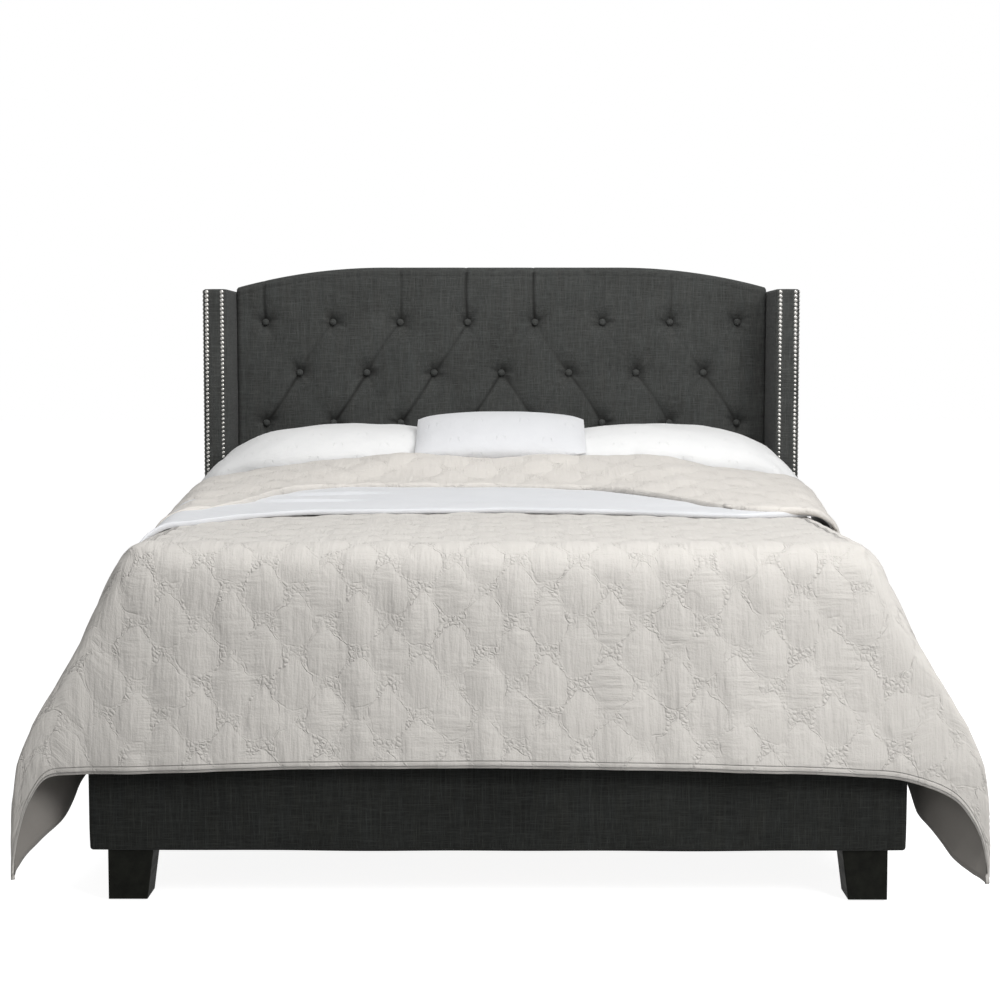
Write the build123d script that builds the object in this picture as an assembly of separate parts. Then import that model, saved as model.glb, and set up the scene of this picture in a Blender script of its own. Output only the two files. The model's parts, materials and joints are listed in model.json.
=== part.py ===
"""Queen-size wingback bed with a tufted headboard, dressed with a quilt, a folded sheet and pillows.

Millimetres, +Z up, +X to the right seen from the foot, +Y from the foot to the headboard.
The origin is on the floor, midway along and across the dressed bed.
"""
import math
import os

from build123d import *

os.makedirs("parts", exist_ok=True)

# Driving dimensions of the bed
MATTRESS_WIDTH = 1524.0
MATTRESS_LENGTH = 2032.0
MATTRESS_HEIGHT = 254.0
FOUNDATION_HEIGHT = 203.0
MATTRESS_GAP = 4.5  # between the mattress and the foot rail or the headboard
RAIL_BOTTOM = 104.0
RAIL_HEIGHT = 240.0
RAIL_SIDE_ROOM = 38.0  # of the foot rail's end past the mattress
HEADBOARD_TOP = 1345.0
HEADBOARD_SIDE_ROOM = 38.0  # of the wing's inner face past the mattress
WING_DROP = 73.0  # of the wings' tops below the headboard's
WING_THICKNESS = 68.0
WING_DEPTH = 200.0  # in front of the headboard

# Clearances shared by the whole bed
FIT = 0.3  # soft pieces and curved faces side by side
HOLE_CLEARANCE = 0.2  # on the radius of a bolt or screw hole
RUNNING_CLEARANCE = 0.05  # on the radius of a turning or screwing fit
OVERRUN = 5.0  # how far a cutter passes its surface

# Headboard layers, front to back
COVER_WADDING = 22.0
COVER_WRAP = 3.0
HEAD_FOAM = 38.0
HEAD_BOARD = 12.0
HEAD_TIMBER = 44.0
BACK_COVER = 2.0
COVER_EDGE_RADIUS = 14.0

# Headboard outline and timbers
ARCH_FLAT_SHARE = 0.4375  # level stretch of the top, of the width
ARCH_RADIUS = 1690.0
POST_WIDTH = 70.0
TOP_RAIL_DROP = 130.0  # of its lower edge below the headboard's top
MID_RAIL_SHARE = 0.432  # of the headboard's height, up to its lower edge
CROSS_RAIL_HEIGHT = 89.0

# Tufting
BUTTON_TOP_DROP = 164.0  # of the top row below the headboard's top
BUTTON_ROW_SPACING = 152.0
BUTTON_SPACING_SHARE = 0.12725  # of the width
LONG_ROW_COUNT = 8
BUTTON_ROW_COUNT = 3
BUTTON_DIAMETER = 20.0
BUTTON_EDGE = 3.0
BUTTON_CROWN = 4.0
BUTTON_SEAT_DEPTH = 17.0
DIMPLE_RADIUS = 58.0
DIMPLE_SAG = 6.0
PLEAT_WIDTH = 13.0
PLEAT_DEPTH = 6.0
TWINE_DIAMETER = 2.5
WASHER_DIAMETER = 14.0
WASHER_THICKNESS = 2.0

# Wings
WING_COVER = 2.0
WING_FOAM = 5.0
WING_EDGE_RADIUS = 6.0
WING_STILE = 50.0
WING_RAIL = 60.0
NAIL_PITCH = 12.3
NAIL_DIAMETER = 11.0
NAIL_RISE = 3.0
NAIL_RIM = 0.8
NAIL_SHANK_DIAMETER = 1.8
NAIL_SHANK_LENGTH = 14.0
NAIL_INNER_INSET = 13.0  # of the inner row, from the wing's inner face
NAIL_OUTER_INSET = 11.0  # of the two outer rows, from the wing's outer front edge
NAIL_END_INSET = 8.0

# Rails
RAIL_COVER = 2.0
FOOT_RAIL_FOAM = 12.0
FOOT_RAIL_BOARD = 25.0
RAIL_EDGE_RADIUS = 6.0
SIDE_RAIL_BOARD = 22.0
SIDE_RAIL_PADDING = 11.0
SIDE_RAIL_INSET = 2.0  # from the foot rail's end
RAIL_END_GAP = 0.5

# Legs
LEG_TOP_WIDTH = 90.0
LEG_FOOT_WIDTH = 77.0
LEG_DEPTH = 80.0
LEG_SIDE_INSET = 33.0
LEG_FACE_INSET = 10.0
LEG_EDGE_RADIUS = 3.0
GLIDE_HEIGHT = 4.0
GLIDE_DIAMETER = 25.0
LEG_BOLT_DIAMETER = 8.0
LEG_BOLT_REACH = 40.0  # into each of the two pieces that it joins
HEAD_LEG_BOLT_INSET = 20.0  # from the leg's outer face

# Corner blocks at the foot
BLOCK_WIDTH = 60.0
BLOCK_DEPTH = 60.0
BLOCK_HEIGHT = 122.0
CORNER_BOLT_DIAMETER = 6.0
CORNER_BOLT_LENGTH = 80.0
CORNER_BOLT_HEAD_DIAMETER = 12.0
CORNER_BOLT_HEAD_HEIGHT = 4.0
CORNER_BOLT_EDGE = 18.0
CORNER_BOLT_LOW = 31.0  # of the bolts into the side rail, above the block's bottom
CORNER_BOLT_HIGH = 101.0
CORNER_BOLT_INSET = 20.0  # how far the bolts into the foot rail lie inside those levels

# Brackets between the side rails and the headboard
BRACKET_THICKNESS = 4.0
BRACKET_LEG = 60.0
BRACKET_HEIGHT = 50.0
BRACKET_LIFT = 30.0  # above the bottom of the rails
BRACKET_BOLT_DIAMETER = 8.0
BRACKET_BOLT_LENGTH = 116.0
BRACKET_BOLT_INSET = 25.0
BRACKET_BOLT_HEAD_DIAMETER = 14.0
BRACKET_BOLT_HEAD_HEIGHT = 5.0
BRACKET_SCREW_DIAMETER = 5.0
BRACKET_SCREW_LENGTH = 20.0
BRACKET_SCREW_HEAD_DIAMETER = 9.0
BRACKET_SCREW_HEAD_HEIGHT = 3.0
BRACKET_SCREW_SPACING = 26.0

# Slats and ledgers
SLAT_COUNT = 5
SLAT_THICKNESS = 19.0
SLAT_WIDTH = 90.0
SLAT_END_GAP = 3.0
SLAT_FIRST = 160.0  # centre of the first slat, from the foot rail's inner face
LEDGER_THICKNESS = 25.0
LEDGER_HEIGHT = 38.0
LEDGER_END_GAP = 6.0
WOOD_SCREW_DIAMETER = 4.5
WOOD_SCREW_LENGTH = 42.0
WOOD_SCREW_HEAD_DIAMETER = 8.5

# Centre rail, its hangers and legs
CENTRE_RAIL_WIDTH = 38.0
CENTRE_RAIL_HEIGHT = 64.0
HANGER_THICKNESS = 3.0
HANGER_LENGTH = 30.0
HANGER_HEIGHT = 45.0
HANGER_FLANGE = 22.0
CENTRE_LEG_WIDTH = 45.0
CENTRE_LEG_SPACING = 680.0
CENTRE_LEG_COUNT = 2
CENTRE_LEG_LIFT = 26.0  # of its lower end above the floor
CENTRE_LEG_EDGE = 2.0

# Levelling feet
PAD_DIAMETER = 34.0
PAD_HEIGHT = 8.0
PAD_TOP_DIAMETER = 22.0
PAD_RIM_HEIGHT = 3.0
STEM_DIAMETER = 8.0
STEM_LENGTH = 56.0
STEM_COLLAR_DIAMETER = 14.0
STEM_COLLAR_HEIGHT = 5.0
STEM_FLAT_WIDTH = 12.0
SPIGOT_DIAMETER = 6.0
SPIGOT_LENGTH = 5.0
INSERT_BARREL_DIAMETER = 11.0
INSERT_BARREL_LENGTH = 14.0
INSERT_FLANGE_DIAMETER = 20.0
INSERT_FLANGE_THICKNESS = 1.5
LEG_BORE_DIAMETER = 9.0
LEVELLER_TRAVEL_UP = 10.0
LEVELLER_PLAY = 10.0  # of the leg's bore past the stem's end

# Wing and headboard fasteners
WING_BOLT_DIAMETER = 8.0
WING_BOLT_HEAD_DIAMETER = 16.0
WING_BOLT_HEAD_HEIGHT = 5.0
WING_BOLT_REACH = 45.0  # into the headboard post
WING_BOLT_FIRST = 130.0  # above the bottom of the wing
WING_BOLT_SPACING_SHARE = 0.368  # of the wing's height
WING_BOLT_COUNT = 3
HEAD_SCREW_SPACING_SHARE = 0.2417  # of the headboard's height
HEAD_SCREW_COUNT = 4  # in each post

# Foundation and mattress
FOUNDATION_SINK = 111.0  # depth of the foundation inside the rails
FOUNDATION_COVER = 3.0
FOUNDATION_BOARD_WIDTH = 64.0
FOUNDATION_BOARD_HEIGHT = 38.0
FOUNDATION_CROSS_BOARDS = 3
FOUNDATION_CORNER_RADIUS = 30.0
MATTRESS_CORNER_RADIUS = 90.0
MATTRESS_EDGE_RADIUS = 60.0

# Quilt
QUILT_THICKNESS = 11.0
QUILT_LIFT = 0.5  # above the mattress
QUILT_LENGTH_ON_TOP = 1426.0  # from the front of the mattress to the edge under the pillows
QUILT_FRONT_FLARE = 84.0  # how far its front hem stands out from the mattress
QUILT_SIDE_FLARE = 73.0
QUILT_TIP_FLARE = 134.0  # how far the hanging corners stand out past the side hem
QUILT_FRONT_FOLD = 200.0  # along the front, from the corner to where its fold begins
QUILT_SIDE_FOLD = 340.0
QUILT_CORNER_RADIUS = 64.0
QUILT_HEM_LEVEL = 265.0
QUILT_HEM_END_LEVEL = 248.0
QUILT_SIDE_HEM_LEVEL = 250.0
QUILT_TIP_LEVEL = 56.0
QUILT_TIP_TURN_WIDTH = 55.0  # width of the front hem's turn down to the tip
QUILT_TIP_SETBACK = 55.0  # of the tip behind the front hem
DROP_SHARES = (0.0, 0.018, 0.072, 0.31, 0.54, 0.655, 0.85, 1.01)  # of the way from its top to the tips
FLARE_SHARES = (-0.6, -0.12, 0.14, 0.45, 0.82, 1.0, 1.0, 1.0)
TIP_SHARES = (0.0, 0.0, 0.0, 0.3, 0.72, 0.88, 1.0, 1.0)
LINING_SLOPE_SHARES = (0.45, 0.78, 1.0, 1.0, 1.0, 1.0, 1.0, 1.0)  # of the thickness, measured sideways

# Folded sheet and upper quilted layer
SHEET_FRONT = 826.0  # from the front of the mattress, in the middle of the bed
SHEET_LENGTH = 560.0
SHEET_THICKNESS = 13.0
SHEET_RISE = 26.0
SHEET_SWEEP = 160.0  # how far its front edge comes forward at the sides
SHEET_OVERHANG = 53.0  # past the mattress's side
SHEET_SHOULDER_RADIUS = 80.0
SHEET_HEM = 540.0
FOLD_FRONT = 1206.0
FOLD_LENGTH = 262.0
FOLD_THICKNESS = 12.0
FOLD_RISE = 57.0
FOLD_SWEEP = 140.0
FOLD_OVERHANG = 100.0
FOLD_SHOULDER_RADIUS = 105.0
FOLD_CROWN = 30.0  # fall of its rear edge from the middle to the shoulders
FOLD_FRONT_CROWN = 1.0
FOLD_HEM = 500.0
SHEET_LIFT = 0.5  # above the quilt
LAYER_GAP = 0.6

# Pillows
PILLOW_OVERHANG = 106.0  # past the mattress's side
PILLOW_DEPTH = 550.0
PILLOW_HEIGHT = 193.0
PILLOW_SPLIT = 8.0  # from the middle of the bed to each big pillow
PILLOW_BACK_GAP = 20.0
PILLOW_LIFT = 0.5
PILLOW_SEAM_SHARE = 0.41  # height of the seam, of the height at each place
PILLOW_LENGTH_SHARES = (0.0, 0.06, 0.26, 0.5, 0.69, 0.79, 0.87, 0.93, 0.98, 1.0)
PILLOW_TOP_SHARES = (0.36, 0.75, 0.92, 1.0, 0.935, 0.826, 0.645, 0.48, 0.28, 0.17)
PILLOW_BOTTOM_SHARES = (0.26, 0.02, 0.0, 0.0, 0.0, 0.0, 0.0, 0.01, 0.06, 0.12)
PILLOW_DEPTH_SHARES = (0.78, 0.9, 0.98, 1.0, 0.965, 0.88, 0.77, 0.5, 0.4, 0.3)
PILLOW_SHIFT_SHARES = (0.0, 0.0, 0.0, 0.0, 0.0, 0.0, 0.0, 0.14, 0.15, 0.15)  # of the depth, toward the foot
SMALL_PILLOW_WIDTH = 460.0
SMALL_PILLOW_DEPTH = 240.0
SMALL_PILLOW_THICKNESS = 84.0
SMALL_PILLOW_LEAN = 24.0  # degrees from level
SMALL_PILLOW_NEST = 27.4  # how far its middle lies below the big pillows' crown
SMALL_PILLOW_OVERHANG = 26.0  # past the big pillows' front, along its slope
SMALL_PILLOW_WIDTH_SHARES = (-0.5, -0.46, -0.36, -0.18, 0.18, 0.36, 0.46, 0.5)
SMALL_PILLOW_HEIGHT_SHARES = (0.12, 0.5, 0.86, 1.0, 1.0, 0.86, 0.5, 0.12)
SMALL_PILLOW_DEPTH_SHARES = (0.8, 0.9, 0.97, 1.0, 1.0, 0.97, 0.9, 0.8)

# Widths and heights that follow from the bed's
FOOT_RAIL_WIDTH = MATTRESS_WIDTH + 2 * RAIL_SIDE_ROOM
HEADBOARD_WIDTH = MATTRESS_WIDTH + 2 * HEADBOARD_SIDE_ROOM  # between the wings
HEADBOARD_HEIGHT = HEADBOARD_TOP - RAIL_BOTTOM
ARCH_FLAT_HALF = ARCH_FLAT_SHARE * HEADBOARD_WIDTH / 2
BUTTON_SPACING = BUTTON_SPACING_SHARE * HEADBOARD_WIDTH
HEAD_SCREW_SPACING = HEAD_SCREW_SPACING_SHARE * HEADBOARD_HEIGHT
SHEET_HALF = MATTRESS_WIDTH / 2 + SHEET_OVERHANG
FOLD_HALF = MATTRESS_WIDTH / 2 + FOLD_OVERHANG
PILLOW_LENGTH = MATTRESS_WIDTH / 2 + PILLOW_OVERHANG - PILLOW_SPLIT

# Levels above the floor
WING_TOP = HEADBOARD_TOP - WING_DROP
WING_BOLT_SPACING = WING_BOLT_SPACING_SHARE * (WING_TOP - RAIL_BOTTOM)
TOP_RAIL_BOTTOM = HEADBOARD_TOP - TOP_RAIL_DROP
MID_RAIL_BOTTOM = RAIL_BOTTOM + MID_RAIL_SHARE * HEADBOARD_HEIGHT
BUTTON_TOP_ROW = HEADBOARD_TOP - BUTTON_TOP_DROP
RAIL_TOP = RAIL_BOTTOM + RAIL_HEIGHT
SLAT_TOP = RAIL_TOP - FOUNDATION_SINK
LEDGER_TOP = SLAT_TOP - SLAT_THICKNESS
LEDGER_BOTTOM = LEDGER_TOP - LEDGER_HEIGHT
MATTRESS_BOTTOM = SLAT_TOP + FOUNDATION_HEIGHT
MATTRESS_TOP = MATTRESS_BOTTOM + MATTRESS_HEIGHT
QUILT_TOP = MATTRESS_TOP + QUILT_LIFT + QUILT_THICKNESS
CENTRE_RAIL_BOTTOM = LEDGER_TOP - CENTRE_RAIL_HEIGHT

# Places along the bed, from the foot to the head
FOOT_RAIL_THICKNESS = RAIL_COVER + FOOT_RAIL_FOAM + FOOT_RAIL_BOARD
HEAD_THICKNESS = COVER_WADDING + HEAD_FOAM + HEAD_BOARD + HEAD_TIMBER + BACK_COVER
BED_LENGTH = FOOT_RAIL_THICKNESS + 2 * MATTRESS_GAP + MATTRESS_LENGTH + HEAD_THICKNESS
QUILT_REACH = QUILT_FRONT_FLARE - FOOT_RAIL_THICKNESS - MATTRESS_GAP  # in front of the foot rail
FOOT_FACE = (QUILT_REACH - BED_LENGTH) / 2
FOOT_RAIL_BACK = FOOT_FACE + FOOT_RAIL_THICKNESS
MATTRESS_FRONT = FOOT_RAIL_BACK + MATTRESS_GAP
PANEL_FRONT = MATTRESS_FRONT + MATTRESS_LENGTH + MATTRESS_GAP
FOAM_FRONT = PANEL_FRONT + COVER_WADDING
BOARD_FRONT = FOAM_FRONT + HEAD_FOAM
TIMBER_FRONT = BOARD_FRONT + HEAD_BOARD
TIMBER_BACK = TIMBER_FRONT + HEAD_TIMBER
HEAD_BACK = TIMBER_BACK + BACK_COVER
TIMBER_MIDDLE = (TIMBER_FRONT + TIMBER_BACK) / 2
WING_FRONT = PANEL_FRONT - WING_DEPTH
HEAD_LEG_FRONT = HEAD_BACK - LEG_FACE_INSET - LEG_DEPTH

# Places across the bed, from the middle out
PANEL_HALF = HEADBOARD_WIDTH / 2 - FIT
POST_OUTER = PANEL_HALF - COVER_WRAP - FIT
POST_INNER = POST_OUTER - POST_WIDTH
WING_INNER = HEADBOARD_WIDTH / 2
WING_OUTER = WING_INNER + WING_THICKNESS
SIDE_RAIL_OUTER = FOOT_RAIL_WIDTH / 2 - SIDE_RAIL_INSET
SIDE_BOARD_OUTER = SIDE_RAIL_OUTER - SIDE_RAIL_PADDING
SIDE_BOARD_INNER = SIDE_BOARD_OUTER - SIDE_RAIL_BOARD
LEDGER_INNER = SIDE_BOARD_INNER - LEDGER_THICKNESS
LEG_OUTER = FOOT_RAIL_WIDTH / 2 - LEG_SIDE_INSET
LEG_INNER = LEG_OUTER - LEG_TOP_WIDTH
BLOCK_INNER = SIDE_BOARD_INNER - BLOCK_WIDTH
BLOCK_BACK = FOOT_RAIL_BACK + BLOCK_DEPTH
FOOT_LEG_BOLT = (LEG_INNER + LEG_OUTER) / 2, FOOT_FACE + LEG_FACE_INSET + LEG_DEPTH / 2
HEAD_LEG_BOLT = LEG_OUTER - HEAD_LEG_BOLT_INSET, TIMBER_MIDDLE

UP = (0, 0, 1)
DOWN = (0, 0, -1)
OUT = (1, 0, 0)
IN = (-1, 0, 0)
BACK = (0, 1, 0)
FRONT = (0, -1, 0)
LOWER_END = (Align.CENTER, Align.CENTER, Align.MIN)


def save(name, shape):
    """Write one sub-part."""
    export_step(shape, f"parts/{name}.step")


def save_pair(name, right):
    """Write a right-hand piece and its mirror image."""
    save(f"{name}_right", right)
    save(f"{name}_left", mirror(right, about=Plane.YZ))


def both_sides(pieces):
    """Pieces on the right and their mirror images on the left."""
    return pieces + [mirror(piece, about=Plane.YZ) for piece in pieces]


def block(x, y, z):
    """Box between three pairs of coordinates."""
    middle = Pos(sum(x) / 2, sum(y) / 2, sum(z) / 2)
    return middle * Box(x[1] - x[0], y[1] - y[0], z[1] - z[0])


def rod(diameter, length, start, direction):
    """Round bar from a point along a direction."""
    return Plane(origin=start, z_dir=direction) * Cylinder(diameter / 2, length, align=LOWER_END)


def bore(diameter, length, start, direction):
    """Cutter for a bolt or screw hole round a rod of the same values."""
    step = Vector(*direction) * OVERRUN
    return rod(diameter + 2 * HOLE_CLEARANCE, length + 2 * OVERRUN, Vector(*start) - step, direction)


def headed_bolt(diameter, length, head_diameter, head_height, start, direction):
    """Bolt whose head's seat is at the start point."""
    seat = Vector(*start)
    head = rod(head_diameter, head_height, seat, Vector(*direction) * -1)
    return rod(diameter, length, seat, direction) + head


def wood_screw(length, start, direction, extra=0.0):
    """Countersunk wood screw with its head's face at the start point, wider by an extra radius."""
    shank = WOOD_SCREW_DIAMETER / 2 + extra
    head = WOOD_SCREW_HEAD_DIAMETER / 2 + extra
    cone = Cone(head, shank, head - shank, align=LOWER_END)
    shaft = Cylinder(shank, length, align=LOWER_END)
    return Plane(origin=start, z_dir=direction) * (cone + shaft)


def corner_arc(before, corner, after, radius):
    """Start, middle and end of the arc that rounds a corner."""
    a, p, b = Vector(*before), Vector(*corner), Vector(*after)
    toward_a, toward_b = (a - p).normalized(), (b - p).normalized()
    half = math.radians(toward_a.get_angle(toward_b)) / 2
    reach = radius / math.tan(half)
    middle = p + (toward_a + toward_b).normalized() * (radius / math.sin(half) - radius)
    return p + toward_a * reach, middle, p + toward_b * reach


def rounded_face(points, radii):
    """Closed outline through corners, each rounded by its radius where that isn't zero."""
    stretches = []
    for i, (corner, radius) in enumerate(zip(points, radii)):
        if radius:
            stretches.append(corner_arc(points[i - 1], corner, points[(i + 1) % len(points)], radius))
        else:
            stretches.append((Vector(*corner),))
    edges = []
    for i, stretch in enumerate(stretches):
        if len(stretch) > 1:
            edges.append(ThreePointArc(*stretch))
        edges.append(Line(stretch[-1], stretches[(i + 1) % len(stretches)][0]))
    return make_face(edges)


def head_outline(inset, bottom):
    """Headboard outline in the XZ plane, drawn in by an inset: a level top that falls in arcs."""
    half = PANEL_HALF - inset
    radius = ARCH_RADIUS - inset
    centre = HEADBOARD_TOP - ARCH_RADIUS

    def arch(x):
        return x, 0, centre + math.sqrt(radius**2 - (x - ARCH_FLAT_HALF) ** 2)

    def flip(point):
        return -point[0], point[1], point[2]

    start, middle, end = arch(ARCH_FLAT_HALF), arch((ARCH_FLAT_HALF + half) / 2), arch(half)
    edges = [
        Line((-half, 0, bottom), (half, 0, bottom)),
        Line((half, 0, bottom), end),
        ThreePointArc(end, middle, start),
        Line(start, flip(start)),
        ThreePointArc(flip(start), flip(middle), flip(end)),
        Line(flip(end), (-half, 0, bottom)),
    ]
    return make_face(edges)


def head_slab(inset, bottom, front, back):
    """Slab with the headboard's outline between two places along the bed."""
    return Pos(0, front, 0) * extrude(head_outline(inset, bottom), amount=back - front, dir=BACK)


def button_places():
    """Rows of button centres, from the top: long and short rows by turns, staggered."""
    rows = []
    for row in range(BUTTON_ROW_COUNT):
        count = LONG_ROW_COUNT - row % 2
        z = BUTTON_TOP_ROW - row * BUTTON_ROW_SPACING
        rows.append([((i - (count - 1) / 2) * BUTTON_SPACING, z) for i in range(count)])
    return rows


def pleat(start, end):
    """Cutter for a V-shaped pleat along the headboard's front between two places."""
    run = Vector(end[0] - start[0], 0, end[1] - start[1])
    plane = Plane(origin=(start[0], PANEL_FRONT, start[1]), x_dir=(run.Z, 0, -run.X), z_dir=run)
    corners = [(-PLEAT_WIDTH, -PLEAT_DEPTH), (PLEAT_WIDTH, -PLEAT_DEPTH), (0, PLEAT_DEPTH)]
    return plane * extrude(make_face(Polyline(*corners, close=True)), amount=run.length)


def dimple():
    """Cutter for one tufted hollow, flaring like a trumpet to the surface."""
    seat = BUTTON_DIAMETER / 2 + FIT
    middle = (DIMPLE_RADIUS + seat) / 2, BUTTON_SEAT_DEPTH / 2 - DIMPLE_SAG
    edges = [
        Line((0, -OVERRUN), (DIMPLE_RADIUS, -OVERRUN)),
        Line((DIMPLE_RADIUS, -OVERRUN), (DIMPLE_RADIUS, 0)),
        ThreePointArc((DIMPLE_RADIUS, 0), middle, (seat, BUTTON_SEAT_DEPTH)),
        Line((seat, BUTTON_SEAT_DEPTH), (0, BUTTON_SEAT_DEPTH)),
        Line((0, BUTTON_SEAT_DEPTH), (0, -OVERRUN)),
    ]
    return revolve(make_face(edges), axis=Axis.Y)


def button():
    """Covered button with its twine and the washer that holds it behind the board."""
    face = BUTTON_SEAT_DEPTH - BUTTON_EDGE - BUTTON_CROWN
    rim = BUTTON_DIAMETER / 2, BUTTON_SEAT_DEPTH - BUTTON_EDGE
    bulge = BUTTON_CROWN * (1 - math.cos(math.pi / 6)) / 2
    middle = rim[0] / 2, (face + rim[1]) / 2 - BUTTON_CROWN / 2 + bulge
    behind = COVER_WADDING + HEAD_FOAM + HEAD_BOARD
    twine, washer = TWINE_DIAMETER / 2, WASHER_DIAMETER / 2
    outline = Polyline(
        rim,
        (rim[0], BUTTON_SEAT_DEPTH),
        (twine, BUTTON_SEAT_DEPTH),
        (twine, behind),
        (washer, behind),
        (washer, behind + WASHER_THICKNESS),
        (0, behind + WASHER_THICKNESS),
        (0, face),
    )
    return revolve(make_face(outline + ThreePointArc((0, face), middle, rim)), axis=Axis.Y)


def at_buttons(shape):
    """Copies of a shape made at the origin, one at each button."""
    return [Pos(x, PANEL_FRONT, z) * shape for row in button_places() for x, z in row]


def pleats():
    """Cutters for the pleats between neighbouring buttons, up to the top and down to the bottom."""
    rows = button_places()
    cutters = [pleat(place, (place[0], HEADBOARD_TOP + OVERRUN)) for place in rows[0]]
    cutters += [pleat(place, (place[0], RAIL_BOTTOM - OVERRUN)) for place in rows[-1]]
    for upper, lower in zip(rows, rows[1:]):
        for x, z in upper:
            near = [place for place in lower if abs(place[0] - x) < BUTTON_SPACING]
            cutters += [pleat((x, z), place) for place in near]
    return cutters


def twine_holes():
    """Cutters for the twine through everything behind the buttons."""
    depth = COVER_WADDING + HEAD_FOAM + HEAD_BOARD
    return at_buttons(bore(TWINE_DIAMETER, depth, (0, 0, 0), BACK))


def head_screws():
    """Screws that hold the backing board to the posts."""
    first = RAIL_BOTTOM + HEAD_SCREW_SPACING / 2
    x = (POST_INNER + POST_OUTER) / 2
    levels = [first + i * HEAD_SCREW_SPACING for i in range(HEAD_SCREW_COUNT)]
    return [(x, BOARD_FRONT, z) for z in levels]


def bracket_bolt():
    """Start of the bolt from a rail bracket into the headboard post, on the right."""
    x = POST_INNER + BRACKET_BOLT_INSET
    z = RAIL_BOTTOM + BRACKET_LIFT + BRACKET_HEIGHT / 2
    return x, PANEL_FRONT - BRACKET_THICKNESS, z


def wing_bolts():
    """Starts of the bolts from a wing into the headboard post, on the right."""
    first = RAIL_BOTTOM + WING_BOLT_FIRST
    x = WING_OUTER - WING_COVER - WING_FOAM
    return [(x, TIMBER_MIDDLE, first + i * WING_BOLT_SPACING) for i in range(WING_BOLT_COUNT)]


def wing_bolt_length():
    """Length of a wing bolt, from its sunk head to its end in the post."""
    return WING_OUTER - WING_COVER - WING_FOAM - POST_OUTER + WING_BOLT_REACH


def holes_at(places, diameter, length, direction, mirrored=True):
    """Bolt holes from a list of places, on both sides unless told otherwise."""
    cutters = [bore(diameter, length, place, direction) for place in places]
    return both_sides(cutters) if mirrored else cutters


def bracket_bolt_holes():
    """Holes for the bracket bolts through the headboard, on both sides."""
    return holes_at([bracket_bolt()], BRACKET_BOLT_DIAMETER, BRACKET_BOLT_LENGTH, BACK)


def wing_bolt_holes():
    """Holes for the wing bolts, on both sides."""
    return holes_at(wing_bolts(), WING_BOLT_DIAMETER, wing_bolt_length(), IN)


def head_screw_holes():
    """Holes for the headboard screws, on both sides."""
    return both_sides([wood_screw(WOOD_SCREW_LENGTH, p, BACK, HOLE_CLEARANCE) for p in head_screws()])


def headboard_cover():
    """Front cover with its wadding: dimpled, pleated and wrapped over the top and the sides."""
    outer = head_slab(0, RAIL_BOTTOM, PANEL_FRONT, TIMBER_BACK)
    front = outer.faces().sort_by(Axis.Y)[0]
    rounded = front.edges().filter_by(lambda edge: edge.center().Z > RAIL_BOTTOM + OVERRUN)
    outer = fillet(rounded, COVER_EDGE_RADIUS)
    inner = head_slab(COVER_WRAP, RAIL_BOTTOM - OVERRUN, FOAM_FRONT, TIMBER_BACK + OVERRUN)
    cutters = [inner] + at_buttons(dimple()) + pleats() + twine_holes()
    return outer - (cutters + bracket_bolt_holes() + wing_bolt_holes())


def headboard_foam():
    """Foam slab behind the cover."""
    slab = head_slab(COVER_WRAP + FIT, RAIL_BOTTOM, FOAM_FRONT, BOARD_FRONT)
    return slab - (twine_holes() + bracket_bolt_holes())


def headboard_board():
    """Backing board."""
    slab = head_slab(COVER_WRAP + FIT, RAIL_BOTTOM, BOARD_FRONT, TIMBER_FRONT)
    return slab - (twine_holes() + bracket_bolt_holes() + head_screw_holes())


def headboard_post():
    """Right post."""
    post = block((POST_INNER, POST_OUTER), (TIMBER_FRONT, TIMBER_BACK), (RAIL_BOTTOM, TOP_RAIL_BOTTOM))
    leg_hole = bore(LEG_BOLT_DIAMETER, LEG_BOLT_REACH, (*HEAD_LEG_BOLT, RAIL_BOTTOM), UP)
    return post - (bracket_bolt_holes() + wing_bolt_holes() + head_screw_holes() + [leg_hole])


def headboard_rail(bottom):
    """Rail between the posts."""
    x = POST_INNER
    return block((-x, x), (TIMBER_FRONT, TIMBER_BACK), (bottom, bottom + CROSS_RAIL_HEIGHT))


def wing_shell(inset, bottom, front_inset):
    """Right wing's outer form, drawn in by an inset, with rounded front and top edges."""
    x = WING_INNER + inset, WING_OUTER - inset
    y = WING_FRONT + front_inset, HEAD_BACK - front_inset
    shape = block(x, y, (bottom, WING_TOP - inset))
    lower = shape.edges().group_by(Axis.Z)[0]
    rear = shape.edges().group_by(Axis.Y)[-1]
    kept = [edge for edge in shape.edges() if edge not in lower and edge not in rear]
    return fillet(kept, WING_EDGE_RADIUS - inset)


def wing_cover():
    """Fabric over the right wing, open below."""
    inner = wing_shell(WING_COVER, RAIL_BOTTOM - OVERRUN, WING_COVER)
    return wing_shell(0, RAIL_BOTTOM, 0) - ([inner] + wing_bolt_holes())


def wing_frame_box():
    """Box round the right wing's timber frame."""
    inset = WING_COVER + WING_FOAM
    x = WING_INNER + inset, WING_OUTER - inset
    return x, (WING_FRONT + inset, TIMBER_BACK), (RAIL_BOTTOM, WING_TOP - inset)


def wing_foam():
    """Foam round the right wing's frame."""
    gap = WING_COVER + FIT
    foam = wing_shell(gap, RAIL_BOTTOM, gap)
    x, y, z = wing_frame_box()
    core = block(x, (y[0], HEAD_BACK), (z[0] - OVERRUN, z[1]))
    return foam - ([core] + wing_bolt_holes())


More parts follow.
